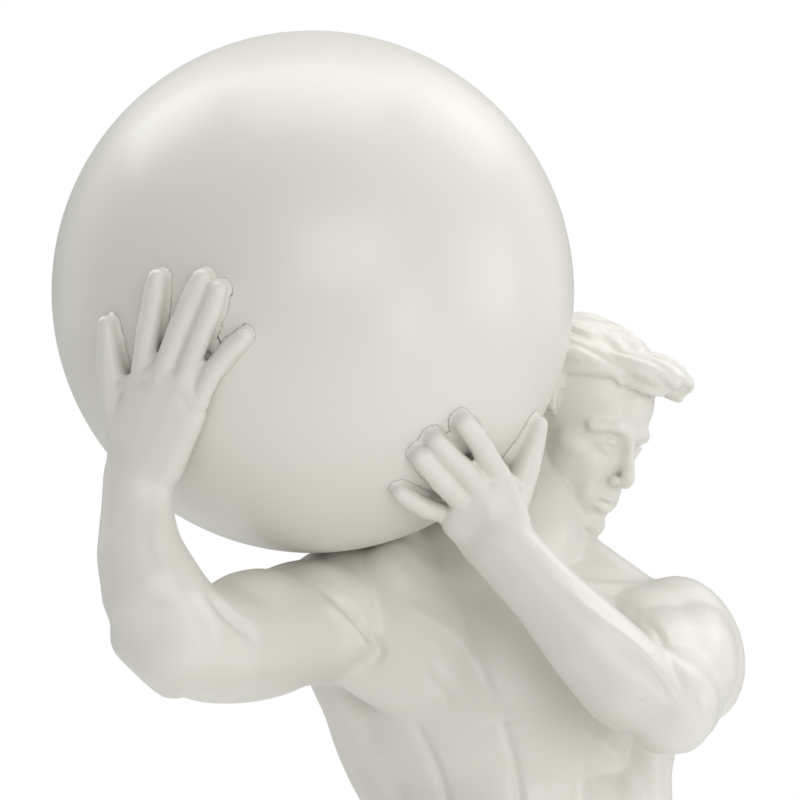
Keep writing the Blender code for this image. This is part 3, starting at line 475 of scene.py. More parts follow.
handValues = {
    "rightAnchor": Vector((-0.514, -0.759, -0.400)),
    "rightWrist": Vector((-1.40, -0.95, 4.48)),
    "leftAnchor": Vector((0.614, -0.305, -0.728)),
    "leftWrist": Vector((0.45, -0.74, 4.13)),
    "leftHeel": Vector((0.235, -0.72, 4.26)),  # under the little finger
    # from the root to the tip: across and up over the globe, and how far off it
    "rightFingers": (
        (((-0.08, 0.14, 0.07), (-0.02, 0.36, 0.06), (0.02, 0.52, 0.05), (0.04, 0.65, 0.045)), 0.060),
        (((0.05, 0.15, 0.08), (0.17, 0.37, 0.06), (0.25, 0.52, 0.05), (0.32, 0.65, 0.045)), 0.060),
        (((0.15, 0.10, 0.08), (0.27, 0.31, 0.06), (0.35, 0.45, 0.05), (0.41, 0.58, 0.045)), 0.058),
        (((0.20, 0.00, 0.07), (0.32, 0.15, 0.06), (0.42, 0.24, 0.05), (0.52, 0.31, 0.04)), 0.052),
    ),
    "rightThumb": (
        (-0.26, -0.26, 0.12), (-0.29, -0.04, 0.09), (-0.30, 0.16, 0.07),
        (-0.31, 0.28, 0.06), (-0.335, 0.39, 0.045),
    ),
    "leftFingers": (
        (((-0.12, 0.16, 0.12), (-0.31, 0.26, 0.08), (-0.44, 0.33, 0.06), (-0.56, 0.38, 0.045)), 0.060),
        (((-0.19, 0.07, 0.13), (-0.39, 0.14, 0.08), (-0.53, 0.18, 0.06), (-0.67, 0.23, 0.045)), 0.060),
        (((-0.21, -0.03, 0.12), (-0.44, 0.03, 0.08), (-0.57, 0.07, 0.06), (-0.69, 0.11, 0.045)), 0.058),
        (((-0.15, -0.13, 0.11), (-0.34, -0.16, 0.07), (-0.46, -0.16, 0.05), (-0.58, -0.15, 0.04)), 0.052),
    ),
    "leftThumb": (
        (0.05, -0.12, 0.24), (0.10, 0.04, 0.19), (0.155, 0.19, 0.12),
        (0.185, 0.30, 0.08), (0.19, 0.42, 0.05),
    ),
}


def globeSpot(anchor, across, up, lift):
    straight = anchor.normalized()
    upward = (Vector((0, 0, 1)) - straight * straight.z).normalized()
    sideways = upward.cross(straight)
    reach = straight * globeHeads + sideways * across + upward * up
    return globeCentre + reach.normalized() * (globeHeads + lift)


def knucklesAndHeels(anchor, wrist, fingers):
    knuckles = [globeSpot(anchor, *joints[0]) for joints, thick in fingers]
    middle = sum(knuckles, Vector()) / len(knuckles)
    heels = [wrist.lerp(middle, 0.24) + (knuckle - middle) * 0.72 for knuckle in knuckles]
    return knuckles, heels


def addPalm(clay, anchor, wrist, fingers, thumb):
    # the broad back of the hand, which flows into the wrist
    knuckles, heels = knucklesAndHeels(anchor, wrist, fingers)
    for knuckle, heel in zip(knuckles, heels):
        rod(clay, knuckle.lerp(heel, 0.15), heel, 0.085, 0.105)
        rod(clay, heel, wrist, 0.105, 0.150)
    for i in range(3):
        for share in (0.2, 0.5, 0.8, 1.0):
            first = knuckles[i].lerp(heels[i], share)
            second = knuckles[i + 1].lerp(heels[i + 1], share)
            rod(clay, first, second, 0.085, 0.085)
    spots = [globeSpot(anchor, *joint) for joint in thumb]
    chain(clay, (wrist, spots[0], spots[1]), (0.14, 0.125, 0.095))
    rod(clay, spots[0], heels[0], 0.115, 0.100)
    rod(clay, spots[1].lerp(spots[0], 0.3), knuckles[0].lerp(heels[0], 0.5), 0.090, 0.085)


def addFingers(clay, anchor, wrist, fingers, thumb):
    knuckles, heels = knucklesAndHeels(anchor, wrist, fingers)
    for (joints, thick), heel in zip(fingers, heels):
        spots = [globeSpot(anchor, *joint) for joint in joints]
        halves = [a.lerp(b, 0.5) for a, b in zip(spots[:-1], spots[1:])]
        path = [spots[0].lerp(heel, 0.6), spots[0]]
        for half, spot in zip(halves, spots[1:]):
            path += [half, spot]
        shares = (0.95, 1.14, 1.05, 1.07, 0.98, 1.01, 0.97, 0.84)
        chain(clay, path, [thick * share for share in shares])
        addNail(clay, spots[3], spots[2], thick)
        addFillet(clay, anchor, joints[1:], thick)
    for i in range(3):
        rod(clay, knuckles[i], knuckles[i + 1], 0.064, 0.064)
    spots = [globeSpot(anchor, *joint) for joint in thumb]
    chain(clay, spots, (0.100, 0.094, 0.076, 0.060, 0.047))
    rod(clay, spots[1].lerp(spots[2], 0.45), knuckles[0].lerp(heels[0], 0.08), 0.055, 0.060)
    addNail(clay, spots[4], spots[3], 0.054)
    addFillet(clay, anchor, thumb[2:], 0.058)


def addFillet(clay, anchor, joints, thick):
    # the finger's underside runs into the globe without an undercut
    low = [globeSpot(anchor, across, up, -0.03) for across, up, lift in joints]
    chain(clay, low, [thick * 1.28] * (len(low) - 1) + [thick * 1.14])


def addNail(clay, tip, joint, thick):
    outward = (tip - globeCentre).normalized()
    back = (joint - tip).normalized()
    nail = tip + back * 0.02 + outward * thick * 0.62
    belly(clay, nail - back * 0.052, nail + back * 0.050, thick * 0.62, thick * 0.24, outward)


carvingValues = {
    # lines over the front in heads: across and up, width, depth, nearest and furthest place
    "lines": (
        (((-0.276, 4.06), (-0.041, 3.80), (0.194, 3.66), (0.38, 3.45), (0.47, 3.26)),
         0.060, 0.024, -0.60, 0.30),
        (((0.20, 3.93), (0.288, 3.684), (0.365, 3.47), (0.44, 3.27)), 0.030, -0.018, -0.60, 0.30),
        (((0.05, 3.47), (0.13, 3.37), (0.24, 3.28)), 0.026, -0.012, -0.60, 0.30),
        (((0.08, 3.52), (0.17, 3.42), (0.28, 3.33)), 0.028, 0.008, -0.60, 0.30),
        (((0.33, 3.16), (0.476, 3.204), (0.62, 3.225)), 0.020, -0.009, -0.60, 0.30),
        (((0.46, 3.26), (0.48, 3.15), (0.535, 2.95), (0.58, 2.60), (0.62, 2.25)), 0.028, -0.020, -0.60, 0.30),
        (((0.01, 3.19), (0.04, 3.12), (0.126, 2.93), (0.22, 2.60), (0.30, 2.30)), 0.032, -0.022, -0.60, 0.30),
        (((0.90, 3.10), (0.90, 2.90), (0.90, 2.60), (0.88, 2.30)), 0.035, -0.016, -0.60, 0.30),
        (((0.16, 2.98), (0.38, 2.955), (0.56, 2.943), (0.86, 2.95)), 0.028, -0.009, -0.60, 0.30),
        (((0.22, 2.70), (0.40, 2.68), (0.60, 2.67), (0.88, 2.69)), 0.028, -0.010, -0.60, 0.30),
        (((0.28, 2.43), (0.44, 2.41), (0.62, 2.40), (0.88, 2.42)), 0.028, -0.010, -0.60, 0.30),
        (((0.93, 3.16), (1.02, 3.06), (1.12, 2.92)), 0.045, 0.022, -0.60, 0.40),
        (((0.96, 2.92), (1.05, 2.83), (1.14, 2.70)), 0.045, 0.018, -0.60, 0.40),
        (((-0.34, 3.12), (-0.22, 3.02), (-0.08, 2.98)), 0.040, 0.014, -0.60, 0.40),
        (((-0.26, 2.90), (-0.14, 2.82), (0.02, 2.80)), 0.040, 0.014, -0.60, 0.40),
        # the right arm's edge over the chest, the elbow creases and the biceps folds
        (((-0.50, 3.90), (-0.36, 3.80), (-0.235, 3.66), (-0.175, 3.56), (-0.255, 3.47)),
         0.030, -0.034, -0.75, 0.30),
        (((-0.56, 3.93), (-0.42, 3.82), (-0.30, 3.68), (-0.245, 3.57), (-0.31, 3.52)),
         0.034, 0.018, -0.75, 0.30),
        (((-1.04, 3.91), (-0.955, 3.81), (-0.882, 3.733), (-0.80, 3.65)), 0.024, -0.030, -1.50, -0.40),
        (((1.12, 3.80), (1.25, 3.69), (1.30, 3.58), (1.385, 3.40), (1.47, 3.25)),
         0.026, -0.014, -1.30, -0.20),
        (((0.62, 4.05), (0.90, 3.80), (1.14, 3.62), (1.33, 3.42)), 0.030, 0.016, -1.50, -0.80),
        (((1.02, 3.66), (1.20, 3.50), (1.32, 3.32)), 0.024, -0.012, -1.50, -0.80),
        (((-1.33, 4.35), (-1.28, 4.10), (-1.16, 3.92)), 0.030, 0.012, -1.50, -0.80),
    ),
}


headValues = {
    "middle": (0.89, 0.66, 4.745),
    "size": 1.05,
    "turn": math.radians(48),
    "nod": math.radians(10),
    "tilt": math.radians(14),
}

hairValues = {
    "seed": 11,
    "lanes": 21,
    "hairline": 0.33,  # how high over the brow, as a share of the crown
}


def headPlace():
    values = headValues
    turn = Euler((0.0, 0.0, values["turn"])).to_matrix()
    nod = Euler((values["nod"], 0.0, 0.0)).to_matrix()
    tilt = Euler((0.0, values["tilt"], 0.0)).to_matrix()
    facing = (tilt @ turn @ nod).to_4x4()
    return Matrix.Translation(values["middle"]) @ facing @ Matrix.Scale(values["size"], 4)


def addSkull(clay):
    front = (0, -1, 0)
    belly(clay, (0, 0.44, 0.14), (0, -0.37, 0.19), 0.31, 0.325, (0, 0, 1))
    belly(clay, (0, -0.08, 0.36), (0, -0.19, -0.46), 0.245, 0.235, front)
    belly(clay, (0, 0.16, 0.10), (0, -0.02, -0.34), 0.24, 0.24, front)
    belly(clay, (-0.10, -0.310, -0.425), (0.10, -0.310, -0.425), 0.075, 0.085, front)
    belly(clay, (-0.16, -0.29, -0.27), (0.16, -0.29, -0.27), 0.12, 0.095, front)
    for side in (-1, 1):
        jaw = ((0.05 * side, -0.29, -0.43), (0.165 * side, -0.08, -0.35), (0.215 * side, 0.03, -0.16))
        chain(clay, jaw, (0.07, 0.07, 0.055))
        belly(clay, (0.09 * side, -0.325, -0.13), (0.245 * side, -0.10, -0.04), 0.075, 0.075, front)
        brow = ((0.02 * side, -0.362, 0.075), (0.12 * side, -0.350, 0.090), (0.22 * side, -0.270, 0.060))
        chain(clay, brow, (0.028, 0.032, 0.030))
    # nose
    chain(clay, ((0, -0.365, 0.05), (0, -0.400, -0.04), (0, -0.448, -0.135)), (0.034, 0.036, 0.042))


def addEyesAndLips(clay):
    # calm, closed lips and eyes that look straight ahead
    for side in (-1, 1):
        ball = Vector((0.112 * side, -0.282, -0.005))
        rod(clay, ball, ball + Vector((0, 0, 0.001)), 0.060, 0.060)
        inner, outer = Vector((0.055 * side, -0.328, -0.014)), Vector((0.170 * side, -0.296, -0.008))
        raised = ((0.085 * side, -0.342, 0.014), (0.128 * side, -0.338, 0.019))
        lowered = ((0.090 * side, -0.334, -0.032), (0.130 * side, -0.328, -0.034))
        upper = smoothCurve((inner, *raised, outer), 9)
        lower = smoothCurve((inner, *lowered, outer), 9)
        chain(clay, upper, [0.008 + 0.009 * math.sin(math.pi * i / 8) for i in range(9)])
        chain(clay, lower, [0.007 + 0.006 * math.sin(math.pi * i / 8) for i in range(9)])
        # wings of the nose, and ears
        belly(clay, (0.050 * side, -0.365, -0.165), (0.040 * side, -0.430, -0.165), 0.026, 0.030, (0, 0, 1))
        rim = smoothCurve((
            (0.262 * side, 0.005, 0.00), (0.285 * side, 0.015, 0.075), (0.315 * side, 0.075, 0.095),
            (0.325 * side, 0.110, 0.03), (0.300 * side, 0.070, -0.06), (0.262 * side, 0.020, -0.105),
        ), 12)
        chain(clay, rim, [0.020] * 12)
        belly(clay, (0.275 * side, 0.060, 0.07), (0.260 * side, 0.035, -0.11), 0.045, 0.022, (side, 0, 0))
    belly(clay, (0, -0.40, -0.172), (0, -0.470, -0.142), 0.040, 0.032, (0, 0, 1))
    upperLip = acrossMouth((0.105, -0.335, -0.288), (0.045, -0.378, -0.266), (0, -0.383, -0.272))
    lowerLip = acrossMouth((0.095, -0.335, -0.296), (0.045, -0.366, -0.316), (0, -0.372, -0.320))
    chain(clay, upperLip, lipRadii(0.012))
    chain(clay, lowerLip, lipRadii(0.016))


def acrossMouth(corner, quarter, middle):
    # a curve from one side of the face to the other
    mirrored = [Vector((-x, y, z)) for x, y, z in (corner, quarter)]
    return smoothCurve((*mirrored, middle, quarter, corner), 13)


def lipRadii(swell):
    return [0.010 + swell * math.sin(math.pi * i / 12) for i in range(13)]


def onSide(side, points):
    return [(x * side, y, z) for x, y, z in points]


def makeHead():
    clay = Clay()
    addSkull(clay)
    grain = figureValues["fineGrain"]
    skull = skinOver(clay.toObject("skull"), grain * 1.8, 16)
    skull = skinOver(skull, grain, 6)
    chisel = Chisel(skull)
    for side in (-1, 1):
        chisel.spot((0.108 * side, -0.362, -0.002), 0.058, -0.040)  # eye sockets
        chisel.spot((0.058 * side, -0.365, 0.000), 0.030, -0.018)
        chisel.spot((0.175 * side, -0.250, -0.250), 0.080, -0.018)  # hollow of the cheek
        fold = ((0.050, -0.405, -0.150), (0.085, -0.372, -0.200), (0.120, -0.345, -0.265))
        chisel.line(onSide(side, fold), 0.020, -0.010)
        nostril = ((0.060, -0.405, -0.195), (0.040, -0.425, -0.200), (0.022, -0.430, -0.198))
        chisel.line(onSide(side, nostril), 0.010, -0.014)
    chisel.line(((0, -0.395, -0.195), (0, -0.385, -0.250)), 0.014, -0.008)
    chisel.line(((-0.07, -0.372, -0.362), (0, -0.380, -0.365), (0.07, -0.372, -0.362)), 0.032, -0.020)
    skull = chisel.done()
    clay = Clay()
    addEyesAndLips(clay)
    details = clay.toObject("details")
    pick(skull, details)
    bpy.ops.object.join()
    skull = skinOver(skull, grain, 4)
    chisel = Chisel(skull)
    parting = acrossMouth((0.100, -0.345, -0.290), (0.045, -0.385, -0.289), (0, -0.392, -0.293))
    chisel.line(parting, 0.010, -0.012, 0.1, 16)
    for side in (-1, 1):
        lid = (
            (0.055, -0.345, -0.014), (0.080, -0.362, 0.000),
            (0.112, -0.368, 0.005), (0.168, -0.330, -0.006),
        )
        chisel.line(onSide(side, lid), 0.007, -0.008, 0.1, 14)
        fold = (
            (0.055, -0.350, 0.028), (0.090, -0.365, 0.046),
            (0.130, -0.362, 0.048), (0.185, -0.315, 0.020),
        )
        chisel.line(onSide(side, fold), 0.010, -0.010, 0.2, 14)
    return chisel.done()


def scalpSpot(around, over, lift):
    # over the skull: around it from the parting to the ears, and over it from the brow to the nape
    wide, long, tall = 0.312 + lift, 0.405 + lift, 0.322 + lift
    side = wide * math.sin(over) * math.sin(around)
    height = tall * math.sin(over) * math.cos(around)
    return Vector((side, 0.035 - long * math.cos(over), 0.165 + height))


def addHair(clay):
    # a close layer under the locks, so that no skin shows between them
    belly(clay, (0, 0.465, 0.165), (0, -0.30, 0.240), 0.327, 0.330, (0, 0, 1))
    # long locks in five rows, combed forward from the nape with a slow wave
    chance = random.Random(hairValues["seed"])
    lanes = hairValues["lanes"]
    for row in range(5):
        for lane in range(lanes):
            wander = chance.uniform(-1, 1)
            around = math.radians(-106 + 212 * (lane + 0.5 * (row % 2) + 0.35 * wander) / (lanes - 0.5))
            start = 176 - 21 * row + chance.uniform(-9, 9)
            line = math.asin(min(1.0, hairValues["hairline"] / max(math.cos(around), 0.2)))
            low = max(math.degrees(line), 0) if abs(around) < math.radians(64) else 74
            reach = min(chance.uniform(48, 74), start - low - chance.uniform(0, 6))
            if reach < 22:
                continue
            side = 0.45 + 0.55 * max(math.cos(around), 0)
            raised = chance.uniform(0.004, 0.040)
            thick = chance.uniform(0.022, 0.040)
            phase = 0.9 * row + 0.25 * lane + 0.5 * wander
            points, radii = [], []
            for step in range(9):
                share = step / 8
                sway = 0.14 * math.sin(3.6 * share + phase) * share
                over = math.radians(start - reach * share)
                rise = min(max((math.degrees(over) - 55) / 70, 0), 1)
                swell = raised + 0.030 * math.sin(math.pi * (0.12 + 0.72 * share))
                lift = side * (0.012 + swell * (0.40 + 0.60 * rise))
                points.append(scalpSpot(around + sway, over, lift))
                radii.append(thick * min(1.0, 0.5 + 2.5 * share) * (1 - 0.76 * share ** 4))
            chain(clay, points, radii)


def addHairline(clay):
    # the edge locks, from the brow round the temple to before the ear
    for side in (-1, 1):
        for layer in range(3):
            points = []
            for step in range(12):
                share = step / 11
                around = math.radians(14 + 92 * share)
                line = math.asin(min(1.0, (hairValues["hairline"] + 0.06) / max(math.cos(around), 0.34)))
                over = line * (1 - share) + math.radians(72) * share + 0.05 + 0.07 * layer
                wave = 0.03 * math.sin(9 * share + 2.1 * layer)
                lift = 0.022 + 0.010 * math.sin(7 * share + layer)
                points.append(scalpSpot(side * around, over + wave, lift))
            radii = [0.018 + 0.013 * math.sin(math.pi * (0.1 + 0.8 * i / 11)) for i in range(12)]
            chain(clay, points, radii)


def addForelock(clay):
    # a tuft that stands out over the brow, thick and round at its end, with locks that curl under
    belly(clay, (0.00, -0.10, 0.40), (0.10, -0.43, 0.39), 0.15, 0.062, (0, 0, 1))
    belly(clay, (0.03, -0.30, 0.415), (0.105, -0.475, 0.425), 0.085, 0.048, (0, 0, 1))
    for layer in range(3):
        for lock in range(6):
            share = lock / 5 - 0.5
            wander = math.sin(2.7 * lock + 1.9 * layer)
            side = 0.34 * share
            drop = 0.048 * layer + 0.15 * share * share
            tip = Vector((0.10 + 0.13 * share, -0.470 + 0.035 * layer + 0.020 * wander, 0.432 - drop * 0.70))
            points = smoothCurve((
                (side * 0.9 - 0.04, -0.06, 0.440 - drop),
                (side * 1.0 - 0.01, -0.18, 0.462 - drop),
                (side * 0.9 + 0.03, -0.30, 0.472 - drop + 0.014 * wander),
                (side * 0.7 + 0.07, -0.40, 0.468 - drop + 0.006 * wander),
                tip,
                tip + Vector((0.006 - side * 0.1, 0.040, -0.014)),
            ), 12)
            thick = 0.031 + 0.007 * wander
            radii = [thick * min(1.0, 0.55 + 0.9 * i / 11) * (1 - 0.40 * (i / 11) ** 4) for i in range(12)]
            chain(clay, points, radii)


def makeFigure():
    values = figureValues
    clay = Clay()
    for add in (addTorso, addNeck, addRightArm, addLeftArm, addLegs, addFeet):
        add(clay)
    hand = handValues
    right = (hand["rightAnchor"], hand["rightWrist"], hand["rightFingers"], hand["rightThumb"])
    left = (hand["leftAnchor"], hand["leftWrist"], hand["leftFingers"], hand["leftThumb"])
    addPalm(clay, *right)
    addPalm(clay, *left)
    littleRoot = globeSpot(hand["leftAnchor"], *hand["leftFingers"][3][0][0])
    chain(clay, (littleRoot, hand["leftHeel"], hand["leftWrist"]), (0.085, 0.105, 0.15))
    body = skinOver(clay.toObject("body"), values["bodyGrain"], values["bodySoftening"])
    print("body", len(body.data.vertices))

    clay = Clay()
    addFingers(clay, *right)
    addFingers(clay, *left)
    addToes(clay)
    addDrape(clay)
    hands = clay.toObject("hands")

    skull = makeHead()
    clay = Clay()
    addHair(clay)
    addHairline(clay)
    addForelock(clay)
    hair = clay.toObject("hair")
    pick(skull, hair)
    bpy.ops.object.join()
    skull.data.transform(headPlace())
    print("head and hair", len(skull.data.vertices))

    pick(body, hands, skull)
    bpy.ops.object.join()
    figure = skinOver(body, values["skinGrain"], values["skinSoftening"])
    figure.name = "figure_skin"
    chisel = Chisel(figure)
    for line in carvingValues["lines"]:
        chisel.front(*line)
    figure = chisel.done()
    print("skin carved", len(figure.data.vertices))
    figure.data.transform(toMetres())
    pressHome(figure)
    applyModifier(figure, "DECIMATE", ratio=values["triangles"] / (2 * len(figure.data.polygons)))
    pressHome(figure)
    pick(figure)
    bpy.ops.object.shade_smooth()
    print("figure", len(figure.data.vertices))
    return figure


def pressHome(thing):
    # the figure stays a hair's breadth off the globe and the plinth
    places = placeOf(thing)
    centre = np.array(globeMiddle)
    away = places - centre
    reach = np.linalg.norm(away, axis=1)
    least = globeRadius + figureValues["seatGap"]
    inside = reach < least
    places[inside] = centre + away[inside] * (least / reach[inside])[:, None]
    places[:, 2] = np.maximum(places[:, 2], plinthTop + figureValues["seatGap"])
    setPlace(thing, places)


globeValues = {
    "levels": 6,
    "waviness": 0.00004,  # a hand finished surface is never quite true
    "waveSize": 0.030,
}


def makeGlobe():
    values = globeValues
    deselect()
    bpy.ops.mesh.primitive_cube_add(size=globeRadius)
    ball = bpy.context.object
    ball.name = "globe_ball"
    levels = values["levels"]
    applyModifier(ball, "SUBSURF", subdivision_type="SIMPLE", levels=levels, render_levels=levels)
    places = placeOf(ball)
    setPlace(ball, places * (globeRadius / np.linalg.norm(places, axis=1))[:, None])
    waves = bpy.data.textures.new("globe_waves", "CLOUDS")
    waves.noise_scale = values["waveSize"]
    applyModifier(ball, "DISPLACE", texture=waves, strength=values["waviness"], mid_level=1.0)
    ball.location = globeMiddle
    bpy.ops.object.transform_apply(location=True, rotation=True, scale=True)
    bpy.ops.object.shade_smooth()
    return ball


plinthValues = {
    "cornerRadius": 0.030,
    "edgeRadius": 0.003,
    "footRadius": 0.0006,
}


def makePlinth():
    values = plinthValues
    low, high = baseBox
    deselect()
    bpy.ops.mesh.primitive_cube_add(size=1, location=(low + high) / 2)
    slab = bpy.context.object
    slab.name = "plinth"
    slab.scale = high - low
    bpy.ops.object.transform_apply(location=True, rotation=True, scale=True)
    chooseEdges(slab, lambda a, b: abs(a.z - b.z) > 0.001)
    bpy.ops.mesh.bevel(offset=values["cornerRadius"], segments=24, affect="EDGES")
    for level, radius, segments in ((high.z, values["edgeRadius"], 8), (low.z, values["footRadius"], 3)):
        bpy.ops.object.mode_set(mode="OBJECT")
        chooseEdges(slab, lambda a, b: abs(a.z - level) < 1e-5 and abs(b.z - level) < 1e-5)
        bpy.ops.mesh.bevel(offset=radius, segments=segments, affect="EDGES")
    bpy.ops.object.mode_set(mode="OBJECT")
    bpy.ops.object.shade_smooth_by_angle(angle=math.radians(40))
    return slab


def chooseEdges(thing, wanted):
    bpy.context.tool_settings.mesh_select_mode = (False, True, False)
    bpy.ops.object.mode_set(mode="EDIT")
    bpy.ops.mesh.select_all(action="DESELECT")
    bpy.ops.object.mode_set(mode="OBJECT")
    mesh = thing.data
    for edge in mesh.edges:
        edge.select = wanted(*[mesh.vertices[i].co for i in edge.vertices])
    bpy.ops.object.mode_set(mode="EDIT")


# materials
class Value:
    def __init__(self, book, socket):
        self.book = book
        self.socket = socket

    def maths(self, operation, other):
        made = self.book.node("ShaderNodeMath", {"operation": operation}, {0: self, 1: other})
        return Value(self.book, made.outputs[0])

    def __add__(self, other):
        return self.maths("ADD", other)

    __radd__ = __add__

    def __mul__(self, other):
        return self.maths("MULTIPLY", other)

    __rmul__ = __mul__


class Book:
    # the nodes of one material or world
    def __init__(self, owner, shader, ending):
        owner.use_nodes = True
        self.owner = owner
        self.nodes = owner.node_tree.nodes
        self.links = owner.node_tree.links
        self.shader = self.nodes[shader]
        self.ending = self.nodes[ending]

    def node(self, kind, settings, inputs):
        made = self.nodes.new(kind)
        for name, value in settings.items():
            setattr(made, name, value)
        for name, value in inputs.items():
            if isinstance(value, Value):
                value = value.socket
            if isinstance(value, bpy.types.NodeSocket):
                self.links.new(value, made.inputs[name])
            else:
                made.inputs[name].default_value = value
        return made

    def noise(self, scale, detail=3.0):
        inputs = {"Vector": self.place, "Scale": scale, "Detail": detail}
        return Value(self, self.node("ShaderNodeTexNoise", {}, inputs).outputs["Fac"])

    def mix(self, factor, first, second):
        inputs = {0: factor, 6: (*first, 1.0), 7: (*second, 1.0)}
        return self.node("ShaderNodeMix", {"data_type": "RGBA"}, inputs).outputs[2]

    def mixShaders(self, factor, first, second):
        return self.node("ShaderNodeMixShader", {}, {0: factor, 1: first, 2: second}).outputs[0]

    def glow(self, kind, strength):
        return self.node(kind, {}, {"Color": (1.0, 1.0, 1.0, 1.0), "Strength": strength}).outputs[0]

    def end(self, shader):
        self.links.new(shader, self.ending.inputs["Surface"])

    def feed(self, name, value):
        if isinstance(value, Value):
            value = value.socket
        if isinstance(value, bpy.types.NodeSocket):
            self.links.new(value, self.shader.inputs[name])
        else:
            self.shader.inputs[name].default_value = value


def materialBook(name):
    book = Book(bpy.data.materials.new(name), "Principled BSDF", "Material Output")
    book.place = book.node("ShaderNodeTexCoord", {}, {}).outputs["Object"]
    return book


paintValues = {
    "white": (0.735, 0.725, 0.665),
    "warm": (0.715, 0.703, 0.640),
    "driftSize": 14.0,  # noise scales, the higher the finer
    "cloudSize": 84.0,
    "rippleSize": 220.0,
    "gritSize": 2600.0,
    "relief": 0.00012,
    "specular": 0.5,
    "coat": 0.25,
    "coatRoughness": 0.20,
}


def satinPaint(name, roughness, grit):
    # sprayed satin white: a faint drift of tone, a little uneven sheen and very fine grit
    values = paintValues
    book = materialBook(name)
    drift = book.noise(values["driftSize"], 4.0)
    cloud = book.noise(values["cloudSize"])
    book.feed("Base Color", book.mix(drift * 0.7 + cloud * 0.3, values["white"], values["warm"]))
    book.feed("Roughness", drift * 0.08 + cloud * 0.05 + (roughness - 0.06))
    grain = book.noise(values["gritSize"], 2.0)
    height = grain * 0.35 + book.noise(values["rippleSize"])
    relief = {"Strength": grit, "Distance": values["relief"], "Height": height}
    book.feed("Normal", book.node("ShaderNodeBump", {}, relief).outputs["Normal"])
    book.feed("Specular IOR Level", values["specular"])
    book.feed("Coat Weight", values["coat"])
    book.feed("Coat Roughness", values["coatRoughness"])
    return book.owner


def dress(thing, material):
    thing.data.materials.clear()
    thing.data.materials.append(material)


figure = makeFigure()
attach(figure, "root")
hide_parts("figure")
dress(figure, satinPaint("satin_casting", 0.40, 0.25))

ball = makeGlobe()
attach(ball, "root")
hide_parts("globe")
dress(ball, satinPaint("satin_globe", 0.38, 0.12))

slab = makePlinth()
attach(slab, "root")
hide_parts("base")
dress(slab, satinPaint("satin_plinth", 0.40, 0.25))
print("pieces made")

# floor, light and camera
viewValues = {
    "distance": 1.600,
    "metresPerPixel": 0.0003065,  # at the globe's middle
    "globePixel": (313, 292),
    "picture": 800,
}


stageValues = {
    "shade": (0.90, 0.90, 0.90),
    "glowFrom": 0.30,  # the sweep takes over from the floor between these distances
    "glowTo": 1.20,
    "lights": {
        # way from the globe's middle, distance, width, height, power
        "key_left_high": ((-0.587, 0.355, 0.727), 1.5, 0.8, 0.8, 5.0),
        "key_right_high": ((0.587, 0.355, 0.727), 1.5, 0.8, 0.8, 3.6),
        "top_soft": ((0, 0.1, 1), 1.5, 1.2, 1.2, 10.8),
        "window_left": ((-0.496, 0.623, 0.605), 1.5, 0.8, 0.8, 1.0),
        "window_right": ((0.503, 0.622, 0.600), 1.5, 0.8, 0.8, 1.4),
        "side_right": ((1, -0.1, 0.1), 1.4, 0.7, 0.7, 3.4),
        "front_fill": ((0.25, -1, 0.30), 1.9, 1.4, 1.0, 10.5),
        "strip_front": ((0.651, -0.739, -0.172), 0.8, 0.16, 0.34, 0.45),
        "back_right": ((1, 0.7, 0.2), 1.5, 0.8, 0.8, 1.2),
        "back_left": ((-1, 0.7, 0.2), 1.5, 0.8, 0.8, 1.0),
    },
    "surround": 0.36,  # strengths of what lights the statue from all round
    "sweepLight": 0.56,
}


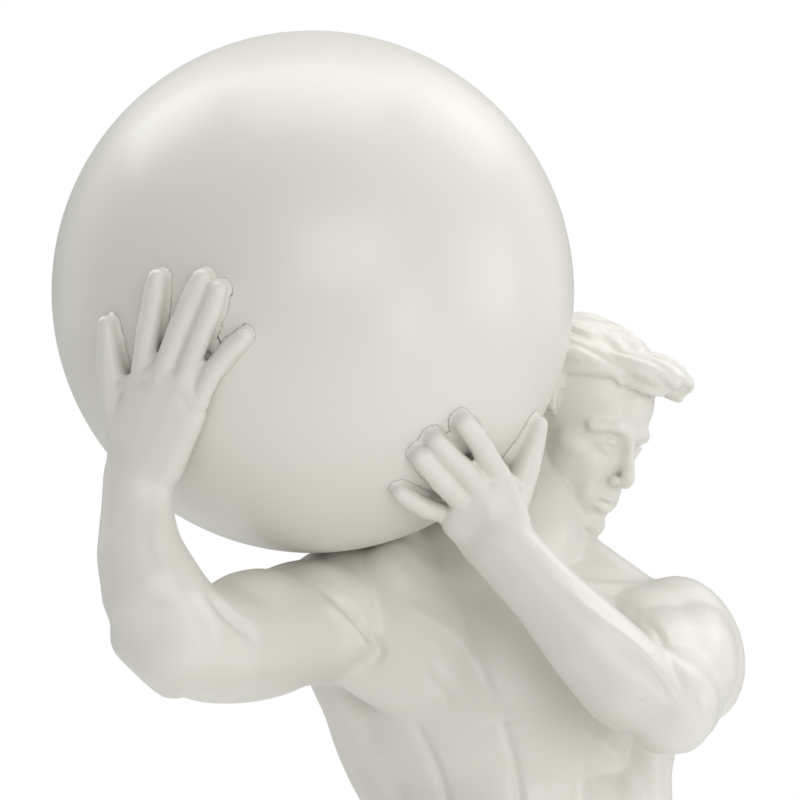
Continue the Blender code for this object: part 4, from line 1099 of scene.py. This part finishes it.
def makeStage():
    values = stageValues
    deselect()
    bpy.ops.mesh.primitive_plane_add(size=60, location=(0, 0, -0.0005))
    floor = bpy.context.object
    floor.name = "floor"
    book = materialBook("floor_white")
    book.feed("Base Color", (*values["shade"], 1.0))
    book.feed("Roughness", 0.9)
    away = book.node("ShaderNodeVectorMath", {"operation": "LENGTH"}, {0: book.place})
    reach = {"Value": away.outputs["Value"], "From Min": values["glowFrom"], "From Max": values["glowTo"]}
    share = book.node("ShaderNodeMapRange", {}, reach).outputs["Result"]
    sweep = seenWhite(book, book.glow("ShaderNodeEmission", values["sweepLight"]), "ShaderNodeEmission")
    book.end(book.mixShaders(share, book.shader.outputs[0], sweep))
    dress(floor, book.owner)


def seenWhite(book, dimmer, kind):
    # plain white to the camera, and dimmer for the light that reaches the statue
    seen = book.node("ShaderNodeLightPath", {}, {}).outputs["Is Camera Ray"]
    return book.mixShaders(seen, dimmer, book.glow(kind, 1.0))


def addLight(name, way, distance, width, height, power):
    data = bpy.data.lights.new(name, "AREA")
    data.energy = power
    data.shape = "RECTANGLE"
    data.size = width
    data.size_y = height
    light = bpy.data.objects.new(name, data)
    light.location = globeMiddle + Vector(way).normalized() * distance
    light.rotation_euler = Vector(way).to_track_quat("Z", "Y").to_euler()
    light.visible_camera = False
    bpy.context.scene.collection.objects.link(light)


def makeLights():
    for name, settings in stageValues["lights"].items():
        addLight(name, *settings)
    book = Book(bpy.data.worlds.new("studio"), "Background", "World Output")
    book.feed("Color", (1.0, 1.0, 1.0, 1.0))
    book.feed("Strength", stageValues["surround"])
    book.end(seenWhite(book, book.shader.outputs[0], "ShaderNodeBackground"))
    bpy.context.scene.world = book.owner


def makeCamera():
    values = viewValues
    scale, distance = values["metresPerPixel"], values["distance"]
    half = values["picture"] / 2
    data = bpy.data.cameras.new("camera")
    data.sensor_fit = "HORIZONTAL"
    data.sensor_width = 36.0
    data.lens = 36.0 * distance / (values["picture"] * scale)
    data.clip_start = 0.05
    data.clip_end = 100.0
    camera = bpy.data.objects.new("camera", data)
    camera.location = (
        globeMiddle.x + (half - values["globePixel"][0]) * scale,
        globeMiddle.y - distance,
        globeMiddle.z + (values["globePixel"][1] - half) * scale,
    )
    camera.rotation_euler = (math.pi / 2, 0, 0)
    bpy.context.scene.collection.objects.link(camera)
    bpy.context.scene.camera = camera


makeStage()
makeLights()
makeCamera()
bpy.context.scene.view_settings.view_transform = "Standard"
print("scene ready")
